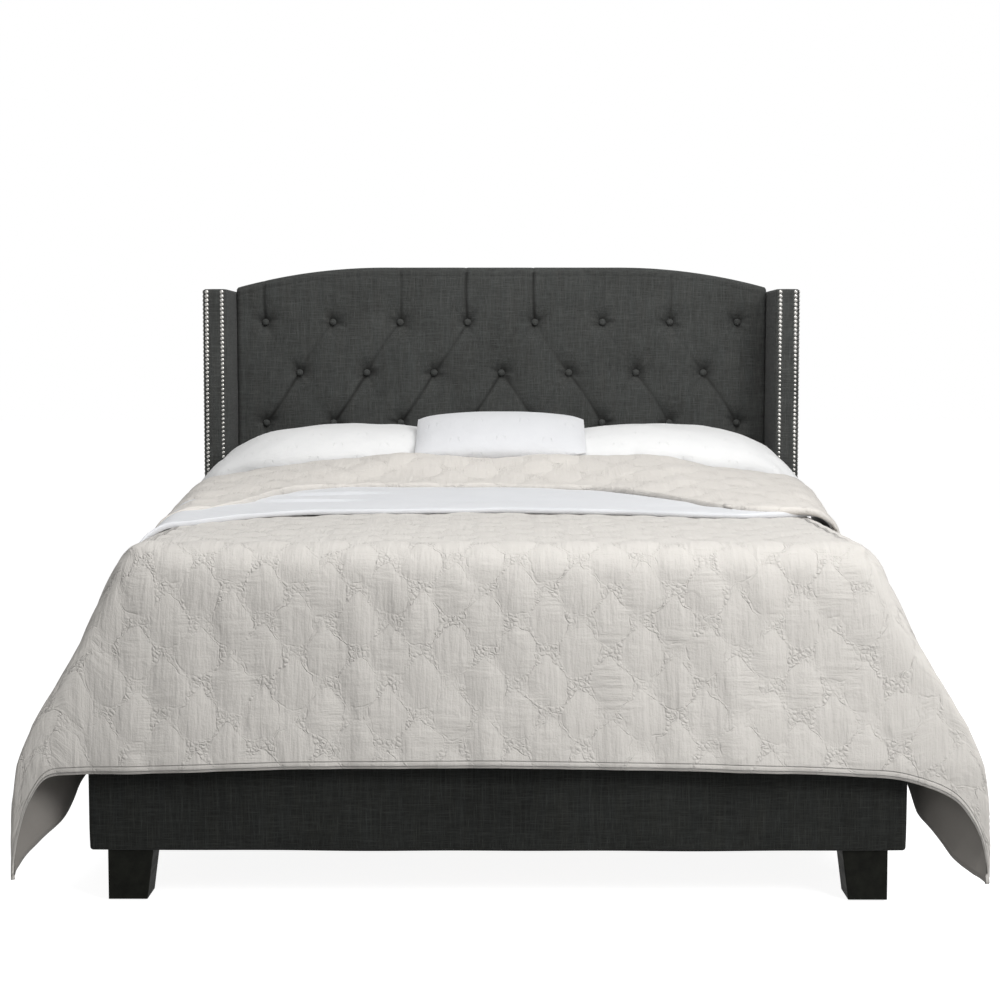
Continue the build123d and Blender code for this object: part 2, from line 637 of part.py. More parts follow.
def wing_frame():
    """Right wing's timber frame: two stiles and three rails, with sunk bolt heads."""
    x, y, z = wing_frame_box()
    middle = (z[0] + z[1]) / 2
    window_y = y[0] + WING_STILE, y[1] - WING_STILE
    levels = [(z[0] + WING_RAIL, middle - WING_RAIL / 2), (middle + WING_RAIL / 2, z[1] - WING_RAIL)]
    windows = [block((x[0] - OVERRUN, x[1] + OVERRUN), window_y, level) for level in levels]
    sinks = [
        rod(WING_BOLT_HEAD_DIAMETER + 2 * HOLE_CLEARANCE, WING_BOLT_HEAD_HEIGHT + OVERRUN, place, OUT)
        for place in sunk_wing_bolts()
    ]
    return block(x, y, z) - (windows + sinks + wing_bolt_holes())


def sunk_wing_bolts():
    """Seats of the wing bolts' heads, sunk into the frame, on the right."""
    return [(x - WING_BOLT_HEAD_HEIGHT, y, z) for x, y, z in wing_bolts()]


def wing_bolt_group():
    """All wing bolts."""
    length = wing_bolt_length() - WING_BOLT_HEAD_HEIGHT
    size = WING_BOLT_DIAMETER, length, WING_BOLT_HEAD_DIAMETER, WING_BOLT_HEAD_HEIGHT
    return Compound(children=both_sides([headed_bolt(*size, place, IN) for place in sunk_wing_bolts()]))


def nail():
    """Domed nail along -Z, its head's rim on the XY plane."""
    radius, shank = NAIL_DIAMETER / 2, NAIL_SHANK_DIAMETER / 2
    crown = NAIL_RISE - NAIL_RIM
    ball = (radius**2 + crown**2) / (2 * crown)
    along = radius / 2
    middle = along, NAIL_RISE - ball + math.sqrt(ball**2 - along**2)
    end = -NAIL_SHANK_LENGTH
    outline = Polyline((radius, NAIL_RIM), (radius, 0), (shank, 0), (shank, end), (0, end), (0, NAIL_RISE))
    crown_arc = ThreePointArc((0, NAIL_RISE), middle, (radius, NAIL_RIM))
    return Rot(90, 0, 0) * revolve(make_face(outline + crown_arc), axis=Axis.Y)


def wing_nails():
    """Three rows of nails up the right wing: two on its front, one on its outer side."""
    first, last = RAIL_BOTTOM + NAIL_END_INSET, WING_TOP - NAIL_END_INSET
    count = int((last - first) / NAIL_PITCH) + 1
    front, side = Plane(origin=(0, 0, 0), z_dir=FRONT), Plane(origin=(0, 0, 0), z_dir=OUT)
    rows = [
        (front, WING_INNER + NAIL_INNER_INSET, WING_FRONT),
        (front, WING_OUTER - NAIL_OUTER_INSET, WING_FRONT),
        (side, WING_OUTER, WING_FRONT + NAIL_OUTER_INSET),
    ]
    nails = []
    for plane, x, y in rows:
        turned = plane * nail()
        nails += [Pos(x, y, last - i * NAIL_PITCH) * turned for i in range(count)]
    return Compound(children=nails)


def foot_rail_form(inset):
    """Foot rail's outer form, drawn in by an inset from the outside."""
    half = FOOT_RAIL_WIDTH / 2 - inset
    y, z = (FOOT_FACE + inset, FOOT_RAIL_BACK), (RAIL_BOTTOM + inset, RAIL_TOP - inset)
    shape = block((-half, half), y, z)
    rear = shape.edges().group_by(Axis.Y)[-1]
    return fillet([edge for edge in shape.edges() if edge not in rear], RAIL_EDGE_RADIUS - inset)


def foot_rail_core(extra):
    """Space of the foot rail's board, passing its open sides by an extra length."""
    half = FOOT_RAIL_WIDTH / 2 - RAIL_COVER - FOOT_RAIL_FOAM
    z = RAIL_BOTTOM + RAIL_COVER - extra, RAIL_TOP - RAIL_COVER + extra
    return block((-half, half), (FOOT_RAIL_BACK - FOOT_RAIL_BOARD, FOOT_RAIL_BACK + extra), z)


def foot_rail_cover():
    """Fabric over the foot rail's front, ends, top and bottom."""
    shell = foot_rail_form(0)
    inner = foot_rail_form(RAIL_COVER)
    behind = foot_rail_core(0)
    return shell - [inner, Pos(0, OVERRUN, 0) * behind]


def foot_rail_foam():
    """Foam on the front and ends of the foot rail's board."""
    return foot_rail_form(RAIL_COVER + FIT) - foot_rail_core(OVERRUN)


def corner_bolts():
    """Starts of the bolts in the right corner block: into the side rail, then into the foot rail."""
    levels = RAIL_BOTTOM + CORNER_BOLT_LOW, RAIL_BOTTOM + CORNER_BOLT_HIGH
    outward = [(BLOCK_INNER, BLOCK_BACK - CORNER_BOLT_EDGE, z) for z in levels]
    inner_levels = levels[0] + CORNER_BOLT_INSET, levels[1] - CORNER_BOLT_INSET
    forward = [(SIDE_BOARD_INNER - CORNER_BOLT_EDGE, BLOCK_BACK, z) for z in inner_levels]
    return outward, forward


def corner_bolt_holes():
    """Holes for the corner bolts, on both sides."""
    outward, forward = corner_bolts()
    size = CORNER_BOLT_DIAMETER, CORNER_BOLT_LENGTH
    return holes_at(outward, *size, OUT) + holes_at(forward, *size, FRONT)


def corner_bolt_group():
    """All corner bolts."""
    outward, forward = corner_bolts()
    size = CORNER_BOLT_DIAMETER, CORNER_BOLT_LENGTH, CORNER_BOLT_HEAD_DIAMETER, CORNER_BOLT_HEAD_HEIGHT
    bolts = [headed_bolt(*size, place, OUT) for place in outward]
    bolts += [headed_bolt(*size, place, FRONT) for place in forward]
    return Compound(children=both_sides(bolts))


def corner_block():
    """Right corner block behind the foot rail."""
    z = RAIL_BOTTOM, RAIL_BOTTOM + BLOCK_HEIGHT
    shape = block((BLOCK_INNER, SIDE_BOARD_INNER), (FOOT_RAIL_BACK, BLOCK_BACK), z)
    leg_hole = bore(LEG_BOLT_DIAMETER, LEG_BOLT_REACH, (*FOOT_LEG_BOLT, RAIL_BOTTOM), UP)
    return shape - (corner_bolt_holes() + [leg_hole])


def side_rail_span():
    """Ends of the side rails along the bed."""
    return FOOT_RAIL_BACK + RAIL_END_GAP, PANEL_FRONT - RAIL_END_GAP


def side_rail():
    """Right side rail's board."""
    z = RAIL_BOTTOM + RAIL_COVER, RAIL_TOP - RAIL_COVER
    board = block((SIDE_BOARD_INNER, SIDE_BOARD_OUTER), side_rail_span(), z)
    screws = [wood_screw(WOOD_SCREW_LENGTH, p, OUT, HOLE_CLEARANCE) for p in ledger_screws()]
    short = [bore(BRACKET_SCREW_DIAMETER, BRACKET_SCREW_LENGTH, p, OUT) for p in bracket_screws()]
    return board - (corner_bolt_holes() + screws + short)


def side_rail_cover():
    """Padding and fabric round the outside, top and bottom of the right side rail."""
    span = side_rail_span()
    shape = block((SIDE_BOARD_INNER, SIDE_RAIL_OUTER), span, (RAIL_BOTTOM, RAIL_TOP))
    outer = shape.edges().filter_by(Axis.Y).group_by(Axis.X)[-1]
    shape = fillet(outer, RAIL_EDGE_RADIUS)
    x = SIDE_BOARD_INNER - OVERRUN, SIDE_BOARD_OUTER
    y = span[0] - OVERRUN, span[1] + OVERRUN
    return shape - block(x, y, (RAIL_BOTTOM + RAIL_COVER, RAIL_TOP - RAIL_COVER))


def head_bracket():
    """Right steel angle between the side rail and the headboard post."""
    x, y, z = bracket_bolt()
    low = RAIL_BOTTOM + BRACKET_LIFT
    level = low, low + BRACKET_HEIGHT
    outer = SIDE_BOARD_INNER
    flange = block((outer - BRACKET_LEG, outer), (y, PANEL_FRONT), level)
    wall = block((outer - BRACKET_THICKNESS, outer), (PANEL_FRONT - BRACKET_LEG, y), level)
    short = [bore(BRACKET_SCREW_DIAMETER, BRACKET_SCREW_LENGTH, p, OUT) for p in bracket_screws()]
    return (flange + wall) - (bracket_bolt_holes() + short)


def bracket_screws():
    """Starts of the screws from the right bracket into the side rail."""
    x = SIDE_BOARD_INNER - BRACKET_THICKNESS
    z = RAIL_BOTTOM + BRACKET_LIFT + BRACKET_HEIGHT / 2
    y = PANEL_FRONT - (BRACKET_LEG + BRACKET_THICKNESS) / 2
    return [(x, y + side * BRACKET_SCREW_SPACING / 2, z) for side in (-1, 1)]


def bracket_bolt_group():
    """Both bracket bolts."""
    head = BRACKET_BOLT_HEAD_DIAMETER, BRACKET_BOLT_HEAD_HEIGHT
    bolt = headed_bolt(BRACKET_BOLT_DIAMETER, BRACKET_BOLT_LENGTH, *head, bracket_bolt(), BACK)
    return Compound(children=both_sides([bolt]))


def bracket_screw_group():
    """All bracket screws."""
    size = (
        BRACKET_SCREW_DIAMETER, BRACKET_SCREW_LENGTH, BRACKET_SCREW_HEAD_DIAMETER, BRACKET_SCREW_HEAD_HEIGHT
    )
    return Compound(children=both_sides([headed_bolt(*size, place, OUT) for place in bracket_screws()]))


def slat_places():
    """Middles of the slats along the bed, evenly spread between the ends of the foundation."""
    first = FOOT_RAIL_BACK + SLAT_FIRST
    last = PANEL_FRONT - SLAT_FIRST
    return [first + i * (last - first) / (SLAT_COUNT - 1) for i in range(SLAT_COUNT)]


def ledger_span():
    """Ends of the ledgers along the bed, clear of the corner blocks and the head brackets."""
    return BLOCK_BACK + LEDGER_END_GAP, PANEL_FRONT - BRACKET_LEG - LEDGER_END_GAP


def ledger_screws():
    """Starts of the screws from the right ledger into the side rail, midway between the slats."""
    slats = slat_places()
    z = (LEDGER_TOP + LEDGER_BOTTOM) / 2
    return [(LEDGER_INNER, (a + b) / 2, z) for a, b in zip(slats, slats[1:])]


def slat_screws():
    """Starts of the screws from the slats down into the right ledger."""
    x = (LEDGER_INNER + SIDE_BOARD_INNER) / 2
    return [(x, y, SLAT_TOP) for y in slat_places()]


def ledger():
    """Right slat ledger."""
    shape = block((LEDGER_INNER, SIDE_BOARD_INNER), ledger_span(), (LEDGER_BOTTOM, LEDGER_TOP))
    outward = [wood_screw(WOOD_SCREW_LENGTH, p, OUT, HOLE_CLEARANCE) for p in ledger_screws()]
    down = [bore(WOOD_SCREW_DIAMETER, WOOD_SCREW_LENGTH, p, DOWN) for p in slat_screws()]
    return shape - (outward + down)


def slats():
    """All slats."""
    half = SIDE_BOARD_INNER - SLAT_END_GAP
    holes = both_sides([wood_screw(WOOD_SCREW_LENGTH, p, DOWN, HOLE_CLEARANCE) for p in slat_screws()])
    boards = [
        block((-half, half), (y - SLAT_WIDTH / 2, y + SLAT_WIDTH / 2), (LEDGER_TOP, SLAT_TOP)) - holes
        for y in slat_places()
    ]
    return Compound(children=boards)


def wood_screw_group():
    """Screws of the ledgers, the slats and the headboard."""
    outward = [wood_screw(WOOD_SCREW_LENGTH, place, OUT) for place in ledger_screws()]
    down = [wood_screw(WOOD_SCREW_LENGTH, place, DOWN) for place in slat_screws()]
    back = [wood_screw(WOOD_SCREW_LENGTH, place, BACK) for place in head_screws()]
    return Compound(children=both_sides(outward + down + back))


def centre_leg_places():
    """Middles of the centre legs along the bed."""
    middle = (FOOT_RAIL_BACK + PANEL_FRONT) / 2
    first = middle - (CENTRE_LEG_COUNT - 1) * CENTRE_LEG_SPACING / 2
    return [first + i * CENTRE_LEG_SPACING for i in range(CENTRE_LEG_COUNT)]


def hanger(end, inward):
    """Steel stirrup that carries one end of the centre rail; inward is +1 at the foot, -1 at the head."""
    half = CENTRE_RAIL_WIDTH / 2 + HANGER_THICKNESS
    plate = sorted((end, end + inward * HANGER_THICKNESS))
    seat = sorted((end, end + inward * HANGER_LENGTH))
    bottom = CENTRE_RAIL_BOTTOM - HANGER_THICKNESS
    top = CENTRE_RAIL_BOTTOM + HANGER_HEIGHT
    wings = block((-half - HANGER_FLANGE, half + HANGER_FLANGE), plate, (bottom, top))
    cradle = block((-half, half), seat, (bottom, top))
    hollow = sorted((end + inward * HANGER_THICKNESS, end + inward * (HANGER_LENGTH + OVERRUN)))
    inner = CENTRE_RAIL_WIDTH / 2
    return wings + cradle - block((-inner, inner), hollow, (CENTRE_RAIL_BOTTOM, top + OVERRUN))


def centre_rail():
    """Centre rail under the slats."""
    half = CENTRE_RAIL_WIDTH / 2
    ends = FOOT_RAIL_BACK + HANGER_THICKNESS, PANEL_FRONT - HANGER_THICKNESS
    rail = block((-half, half), ends, (CENTRE_RAIL_BOTTOM, LEDGER_TOP))
    starts = [(0, y, CENTRE_RAIL_BOTTOM) for y in centre_leg_places()]
    return rail - holes_at(starts, LEG_BOLT_DIAMETER, LEG_BOLT_REACH, UP, mirrored=False)


def centre_leg(y):
    """Centre leg with a bolt hole above and a stepped bore below."""
    half = CENTRE_LEG_WIDTH / 2
    shape = block((-half, half), (y - half, y + half), (CENTRE_LEG_LIFT, CENTRE_RAIL_BOTTOM))
    shape = fillet(shape.edges().filter_by(Axis.Z), CENTRE_LEG_EDGE)
    foot = (0, y, CENTRE_LEG_LIFT)
    top = bore(LEG_BOLT_DIAMETER, LEG_BOLT_REACH, (0, y, CENTRE_RAIL_BOTTOM), DOWN)
    barrel = bore(INSERT_BARREL_DIAMETER, INSERT_BARREL_LENGTH - OVERRUN, foot, UP)
    channel = rod(LEG_BORE_DIAMETER, LEVELLER_TRAVEL_UP + STEM_LENGTH + LEVELLER_PLAY, foot, UP)
    return shape - [top, barrel, channel]


def leg_insert(y):
    """Threaded insert in a centre leg's lower end."""
    foot = (0, y, CENTRE_LEG_LIFT)
    flange = rod(INSERT_FLANGE_DIAMETER, INSERT_FLANGE_THICKNESS, foot, DOWN)
    barrel = rod(INSERT_BARREL_DIAMETER, INSERT_BARREL_LENGTH, foot, UP)
    thread = rod(STEM_DIAMETER + 2 * RUNNING_CLEARANCE, INSERT_BARREL_LENGTH + 2 * OVERRUN,
                 (0, y, CENTRE_LEG_LIFT - OVERRUN), UP)
    return flange + barrel - thread


def leveller_pad(y):
    """Foot pad with the bearing hole that its stem turns in."""
    rim = rod(PAD_DIAMETER, PAD_RIM_HEIGHT, (0, y, 0), UP)
    slope = Pos(0, y, PAD_RIM_HEIGHT) * Cone(
        PAD_DIAMETER / 2, PAD_TOP_DIAMETER / 2, PAD_HEIGHT - PAD_RIM_HEIGHT, align=LOWER_END
    )
    hole = rod(SPIGOT_DIAMETER + 2 * RUNNING_CLEARANCE, SPIGOT_LENGTH + OVERRUN,
               (0, y, PAD_HEIGHT - SPIGOT_LENGTH), UP)
    return rim + slope - hole


def leveller_stem(y):
    """Threaded stem with its collar and two spanner flats, standing in its pad."""
    collar = rod(STEM_COLLAR_DIAMETER, STEM_COLLAR_HEIGHT, (0, y, PAD_HEIGHT), UP)
    flats = block(
        (-STEM_FLAT_WIDTH / 2, STEM_FLAT_WIDTH / 2), (y - STEM_COLLAR_DIAMETER, y + STEM_COLLAR_DIAMETER),
        (PAD_HEIGHT, PAD_HEIGHT + STEM_COLLAR_HEIGHT),
    )
    spigot = rod(SPIGOT_DIAMETER, SPIGOT_LENGTH, (0, y, PAD_HEIGHT), DOWN)
    thread = rod(STEM_DIAMETER, STEM_LENGTH, (0, y, PAD_HEIGHT + STEM_COLLAR_HEIGHT), UP)
    return (collar & flats) + spigot + thread


def leg(front, bolt):
    """Right leg, tapered on its inner side, with its bolt hole above."""
    back = front + LEG_DEPTH

    def level(inner, z):
        corners = [(inner, front, z), (LEG_OUTER, front, z), (LEG_OUTER, back, z), (inner, back, z)]
        return make_face(Polyline(*corners, close=True))

    lower = level(LEG_OUTER - LEG_FOOT_WIDTH, GLIDE_HEIGHT)
    shape = Solid(loft([lower, level(LEG_INNER, RAIL_BOTTOM)], ruled=True).wrapped)
    tall = [edge for edge in shape.edges() if edge.bounding_box().size.Z > LEG_EDGE_RADIUS * 2]
    return fillet(tall, LEG_EDGE_RADIUS) - bore(LEG_BOLT_DIAMETER, LEG_BOLT_REACH, (*bolt, RAIL_BOTTOM), DOWN)


def leg_bolt_group():
    """Hanger bolts of the four legs and the centre legs, all alike."""
    size = LEG_BOLT_DIAMETER, 2 * LEG_BOLT_REACH
    places = FOOT_LEG_BOLT, HEAD_LEG_BOLT
    corner = [rod(*size, (*place, RAIL_BOTTOM - LEG_BOLT_REACH), UP) for place in places]
    centre = [rod(*size, (0, y, CENTRE_RAIL_BOTTOM - LEG_BOLT_REACH), UP) for y in centre_leg_places()]
    return Compound(children=both_sides(corner) + centre)


def glide_group():
    """Nail-on glides under the four legs."""
    x = LEG_OUTER - LEG_FOOT_WIDTH / 2
    middles = [front + LEG_DEPTH / 2 for front in (FOOT_FACE + LEG_FACE_INSET, HEAD_LEG_FRONT)]
    return Compound(children=both_sides([rod(GLIDE_DIAMETER, GLIDE_HEIGHT, (x, y, 0), UP) for y in middles]))


def foundation_form(inset):
    """Foundation's outer form, drawn in by an inset."""
    half = MATTRESS_WIDTH / 2 - inset
    y = MATTRESS_FRONT + inset, MATTRESS_FRONT + MATTRESS_LENGTH - inset
    shape = block((-half, half), y, (SLAT_TOP + inset, MATTRESS_BOTTOM - inset))
    return fillet(shape.edges().filter_by(Axis.Z), FOUNDATION_CORNER_RADIUS - inset)


def foundation_cover():
    """Closed fabric shell of the foundation."""
    return foundation_form(0) - foundation_form(FOUNDATION_COVER)


def foundation_frame():
    """Timber frame inside the foundation: a rim and cross boards, top and bottom, on posts."""
    body = foundation_form(FOUNDATION_COVER + FIT)
    box = body.bounding_box()
    wide, board = FOUNDATION_BOARD_WIDTH, FOUNDATION_BOARD_HEIGHT
    low, high = box.min, box.max
    bays = FOUNDATION_CROSS_BOARDS + 1
    pitch = (high.Y - low.Y - wide) / bays
    cutters = []
    for i in range(bays):
        y = low.Y + wide + i * pitch, low.Y + (i + 1) * pitch
        cutters.append(block((low.X + wide, high.X - wide), y, (low.Z - OVERRUN, high.Z + OVERRUN)))
        cutters.append(block((low.X - OVERRUN, high.X + OVERRUN), y, (low.Z + board, high.Z - board)))
    for i in range(bays + 1):
        y = low.Y + i * pitch - OVERRUN, low.Y + i * pitch + wide + OVERRUN
        cutters.append(block((low.X + wide, high.X - wide), y, (low.Z + board, high.Z - board)))
    return body - cutters


def mattress():
    """Mattress with soft edges."""
    half = MATTRESS_WIDTH / 2
    y = MATTRESS_FRONT, MATTRESS_FRONT + MATTRESS_LENGTH
    shape = block((-half, half), y, (MATTRESS_BOTTOM, MATTRESS_TOP))
    shape = fillet(shape.edges().filter_by(Axis.Z), MATTRESS_CORNER_RADIUS)
    return fillet(shape.edges().group_by(Axis.Z)[-1], MATTRESS_EDGE_RADIUS)


def quilt_level(index, thickness):
    """Outline of the quilt at one level, drawn in sideways by a share of a thickness."""
    drop = DROP_SHARES[index] * (QUILT_TOP - QUILT_TIP_LEVEL)
    inset = thickness * LINING_SLOPE_SHARES[index]
    lowered = thickness if index == 0 else thickness * (1 - LINING_SLOPE_SHARES[index])
    z = QUILT_TOP - drop - lowered
    side = MATTRESS_WIDTH / 2 + QUILT_SIDE_FLARE * FLARE_SHARES[index] - inset
    front = MATTRESS_FRONT - QUILT_FRONT_FLARE * FLARE_SHARES[index] + inset
    tip = side + QUILT_TIP_FLARE * TIP_SHARES[index]
    back = MATTRESS_FRONT + QUILT_LENGTH_ON_TOP + (OVERRUN if thickness else 0)
    right = [(side - QUILT_FRONT_FOLD, front), (tip, front), (side, front + QUILT_SIDE_FOLD), (side, back)]
    points = right + [(-x, y) for x, y in reversed(right)]
    radius = QUILT_CORNER_RADIUS - inset
    radii = [0, radius, 0, 0, 0, 0, radius, 0]
    return Pos(0, 0, z) * rounded_face([(x, y, 0) for x, y in points], radii)


def quilt():
    """Quilt: flat top, drops that flare to the hem, and corners that hang lower as folds."""
    levels = range(len(DROP_SHARES))
    outer = loft([quilt_level(i, 0) for i in levels], ruled=True)
    inner = loft([quilt_level(i, QUILT_THICKNESS) for i in levels], ruled=True)
    return outer - ([inner] + hem_cutters())


def hem_cutters():
    """Cutters below the hems: level along the front, down to the tips, and up again along the sides."""
    reach = MATTRESS_WIDTH / 2 + QUILT_SIDE_FLARE + QUILT_TIP_FLARE
    front = MATTRESS_FRONT - QUILT_FRONT_FLARE
    tip_y = front + QUILT_TIP_SETBACK
    floor = QUILT_TIP_LEVEL - 2 * OVERRUN
    turn = reach - QUILT_TIP_TURN_WIDTH
    middle = (QUILT_HEM_END_LEVEL + QUILT_TIP_LEVEL) / 2 + QUILT_TIP_TURN_WIDTH / 2
    right = [
        (turn - QUILT_FRONT_FOLD, QUILT_HEM_LEVEL),
        (turn, QUILT_HEM_END_LEVEL),
        (reach - QUILT_TIP_TURN_WIDTH / 3, middle),
        (reach, QUILT_TIP_LEVEL),
        (reach + OVERRUN, floor),
    ]
    profile = right + [(-x, z) for x, z in reversed(right)]
    face = make_face(Polyline(*[(x, 0, z) for x, z in profile], close=True))
    along = tip_y - front + OVERRUN
    cutters = [Pos(0, front - OVERRUN, 0) * extrude(face, amount=along, dir=BACK)]
    back = MATTRESS_FRONT + QUILT_LENGTH_ON_TOP + OVERRUN
    side = [
        (front - OVERRUN, QUILT_TIP_LEVEL),
        (tip_y, QUILT_TIP_LEVEL),
        (front + QUILT_SIDE_FOLD, QUILT_SIDE_HEM_LEVEL),
        (back, QUILT_SIDE_HEM_LEVEL),
        (back, floor),
        (front - OVERRUN, floor),
    ]
    face = make_face(Polyline(*[(-reach - OVERRUN, y, z) for y, z in side], close=True))
    return cutters + [extrude(face, amount=2 * (reach + OVERRUN), dir=OUT)]


def drape_section(y, top, crown, half, radius, thickness, hem):
    """Arched section of a cloth laid over the bed: level or crowned top, round shoulders, sides."""

    def shell(inset, end):
        level = top - crown - inset
        shoulder = half - radius
        bend = radius - inset
        centre = level - bend
        side = shoulder + bend
        diagonal = bend * math.sqrt(0.5)
        middle = shoulder + diagonal, y, centre + diagonal
        return (side, y, end), (side, y, centre), middle, (shoulder, y, level), (0, y, top - inset)

    def flip(point):
        return -point[0], point[1], point[2]

    edges = []
    for inset in (0, thickness):
        foot, bottom, middle, start, peak = shell(inset, hem)
        edges += [Line(foot, bottom), ThreePointArc(bottom, middle, start)]
        edges.append(ThreePointArc(start, peak, flip(start)) if crown else Line(start, flip(start)))
        edges += [ThreePointArc(flip(start), flip(middle), flip(bottom)), Line(flip(bottom), flip(foot))]
    for side in (1, -1):
        outer, inner = shell(0, hem)[0], shell(thickness, hem)[0]
        edges.append(Line((side * outer[0], y, hem), (side * inner[0], y, hem)))
    return make_face(edges)


def front_sweep(front, sweep, half):
    """Cutter in front of a cloth's edge, which comes forward in an arc at both sides."""
    wide = half + OVERRUN
    left, right = (-wide, front - sweep, 0), (wide, front - sweep, 0)
    near = front - 2 * sweep
    edges = [
        ThreePointArc(left, (0, front, 0), right),
        Line(right, (wide, near, 0)),
        Line((wide, near, 0), (-wide, near, 0)),
        Line((-wide, near, 0), left),
    ]
    return extrude(make_face(edges), amount=HEADBOARD_TOP, dir=UP)


def sheet_top(y):
    """Height of the folded sheet's top at a place along the bed."""
    start = MATTRESS_FRONT + SHEET_FRONT
    return QUILT_TOP + SHEET_LIFT + SHEET_THICKNESS + SHEET_RISE * (y - start) / SHEET_LENGTH


def sheet_band():
    """White sheet folded down over the quilt."""
    front = MATTRESS_FRONT + SHEET_FRONT
    ends = front - SHEET_SWEEP, front, front + SHEET_LENGTH
    size = 0, SHEET_HALF, SHEET_SHOULDER_RADIUS, SHEET_THICKNESS, SHEET_HEM
    levels = sheet_top(front), sheet_top(front), sheet_top(ends[2])
    shape = loft([drape_section(y, top, *size) for y, top in zip(ends, levels)], ruled=True)
    return shape - front_sweep(front, SHEET_SWEEP, SHEET_HALF)


def upper_quilt():
    """Quilted layer folded back over the sheet and onto the pillows' front."""
    front = MATTRESS_FRONT + FOLD_FRONT
    back = front + FOLD_LENGTH
    low = sheet_top(front) + LAYER_GAP + FOLD_THICKNESS + FOLD_FRONT_CROWN
    size = FOLD_HALF, FOLD_SHOULDER_RADIUS, FOLD_THICKNESS, FOLD_HEM
    sections = [
        drape_section(front - FOLD_SWEEP, low, FOLD_FRONT_CROWN, *size),
        drape_section(front, low, FOLD_FRONT_CROWN, *size),
        drape_section(back, low + FOLD_RISE, FOLD_CROWN, *size),
    ]
    return loft(sections, ruled=True) - front_sweep(front, FOLD_SWEEP, FOLD_HALF)


def pillow_section(x, y, depth, low, seam, high):
    """Pillow's section across one place: an upper and a lower arc that meet in the seams."""
    front, back = (x, y - depth / 2, seam), (x, y + depth / 2, seam)
    return make_face([ThreePointArc(front, (x, y, high), back), ThreePointArc(back, (x, y, low), front)])


def big_pillow():
    """Right pillow, drawn in at its corners and drooping past the mattress's edge."""
    y = PANEL_FRONT - PILLOW_BACK_GAP - PILLOW_DEPTH / 2
    floor = MATTRESS_TOP + PILLOW_LIFT
    sections = []
    heights = zip(PILLOW_TOP_SHARES, PILLOW_BOTTOM_SHARES)
    depths = zip(PILLOW_DEPTH_SHARES, PILLOW_SHIFT_SHARES)
    for along, (top, bottom), (deep, shift) in zip(PILLOW_LENGTH_SHARES, heights, depths):
        low, high = floor + bottom * PILLOW_HEIGHT, floor + top * PILLOW_HEIGHT
        seam = low + PILLOW_SEAM_SHARE * (high - low)
        x = PILLOW_SPLIT + along * PILLOW_LENGTH
        middle = y - shift * PILLOW_DEPTH
        sections.append(pillow_section(x, middle, deep * PILLOW_DEPTH, low, seam, high))
    return loft(sections, ruled=True)


def small_pillow():
    """Small pillow that leans on the two big ones where they meet."""
    sections = []
    shares = zip(SMALL_PILLOW_WIDTH_SHARES, SMALL_PILLOW_HEIGHT_SHARES, SMALL_PILLOW_DEPTH_SHARES)
    for across, tall, deep in shares:
        half = tall * SMALL_PILLOW_THICKNESS / 2
        x = across * SMALL_PILLOW_WIDTH
        sections.append(pillow_section(x, 0, deep * SMALL_PILLOW_DEPTH, -half, 0, half))
    return small_pillow_place() * loft(sections, ruled=True)


def small_pillow_place():
    """Place and lean of the small pillow: against the big pillows' front slope."""
    y = PANEL_FRONT - PILLOW_BACK_GAP - PILLOW_DEPTH + SMALL_PILLOW_DEPTH / 2 - SMALL_PILLOW_OVERHANG
    z = MATTRESS_TOP + PILLOW_LIFT + PILLOW_HEIGHT - SMALL_PILLOW_NEST
    return Pos(0, y, z) * Rot(SMALL_PILLOW_LEAN, 0, 0)


save("headboard_cover", headboard_cover())
save("headboard_foam", headboard_foam())
save("headboard_board", headboard_board())
save_pair("headboard_post", headboard_post())
save("headboard_top_rail", head_slab(COVER_WRAP + FIT, TOP_RAIL_BOTTOM, TIMBER_FRONT, TIMBER_BACK))
cross_rails = [headboard_rail(RAIL_BOTTOM), headboard_rail(MID_RAIL_BOTTOM)]
save("headboard_cross_rails", Compound(children=cross_rails))
save("headboard_back_cover", head_slab(0, RAIL_BOTTOM, TIMBER_BACK, HEAD_BACK))
save("headboard_buttons", Compound(children=at_buttons(button())))
save_pair("wing_cover", wing_cover())
save_pair("wing_foam", wing_foam())
save_pair("wing_frame", wing_frame())
save_pair("wing_nails", wing_nails())
save("wing_bolts", wing_bolt_group())
save("foot_rail_cover", foot_rail_cover())
save("foot_rail_foam", foot_rail_foam())
save("foot_rail_board", foot_rail_core(0) - corner_bolt_holes())
save_pair("corner_block", corner_block())
save("corner_bolts", corner_bolt_group())
save_pair("side_rail", side_rail())
save_pair("side_rail_cover", side_rail_cover())
save_pair("head_bracket", head_bracket())
save("bracket_bolts", bracket_bolt_group())
save("bracket_screws", bracket_screw_group())
save_pair("ledger", ledger())
save("slats", slats())
save("wood_screws", wood_screw_group())
save("centre_rail", centre_rail())
save("centre_rail_hangers", Compound(children=[hanger(FOOT_RAIL_BACK, 1), hanger(PANEL_FRONT, -1)]))
save("leg_inserts", Compound(children=[leg_insert(y) for y in centre_leg_places()]))
for number, leg_y in enumerate(centre_leg_places(), 1):
    save(f"centre_leg_{number}", centre_leg(leg_y))
    save(f"leveller_pad_{number}", leveller_pad(leg_y))
    save(f"leveller_stem_{number}", leveller_stem(leg_y))
save_pair("foot_leg", leg(FOOT_FACE + LEG_FACE_INSET, FOOT_LEG_BOLT))
save_pair("head_leg", leg(HEAD_LEG_FRONT, HEAD_LEG_BOLT))
save("leg_bolts", leg_bolt_group())
save("leg_glides", glide_group())
save("foundation_frame", foundation_frame())
save("foundation_cover", foundation_cover())
save("mattress", mattress())
save("quilt", quilt())
save("sheet_band", sheet_band())
save("upper_quilt", upper_quilt())
save_pair("pillow", big_pillow())
save("small_pillow", small_pillow())
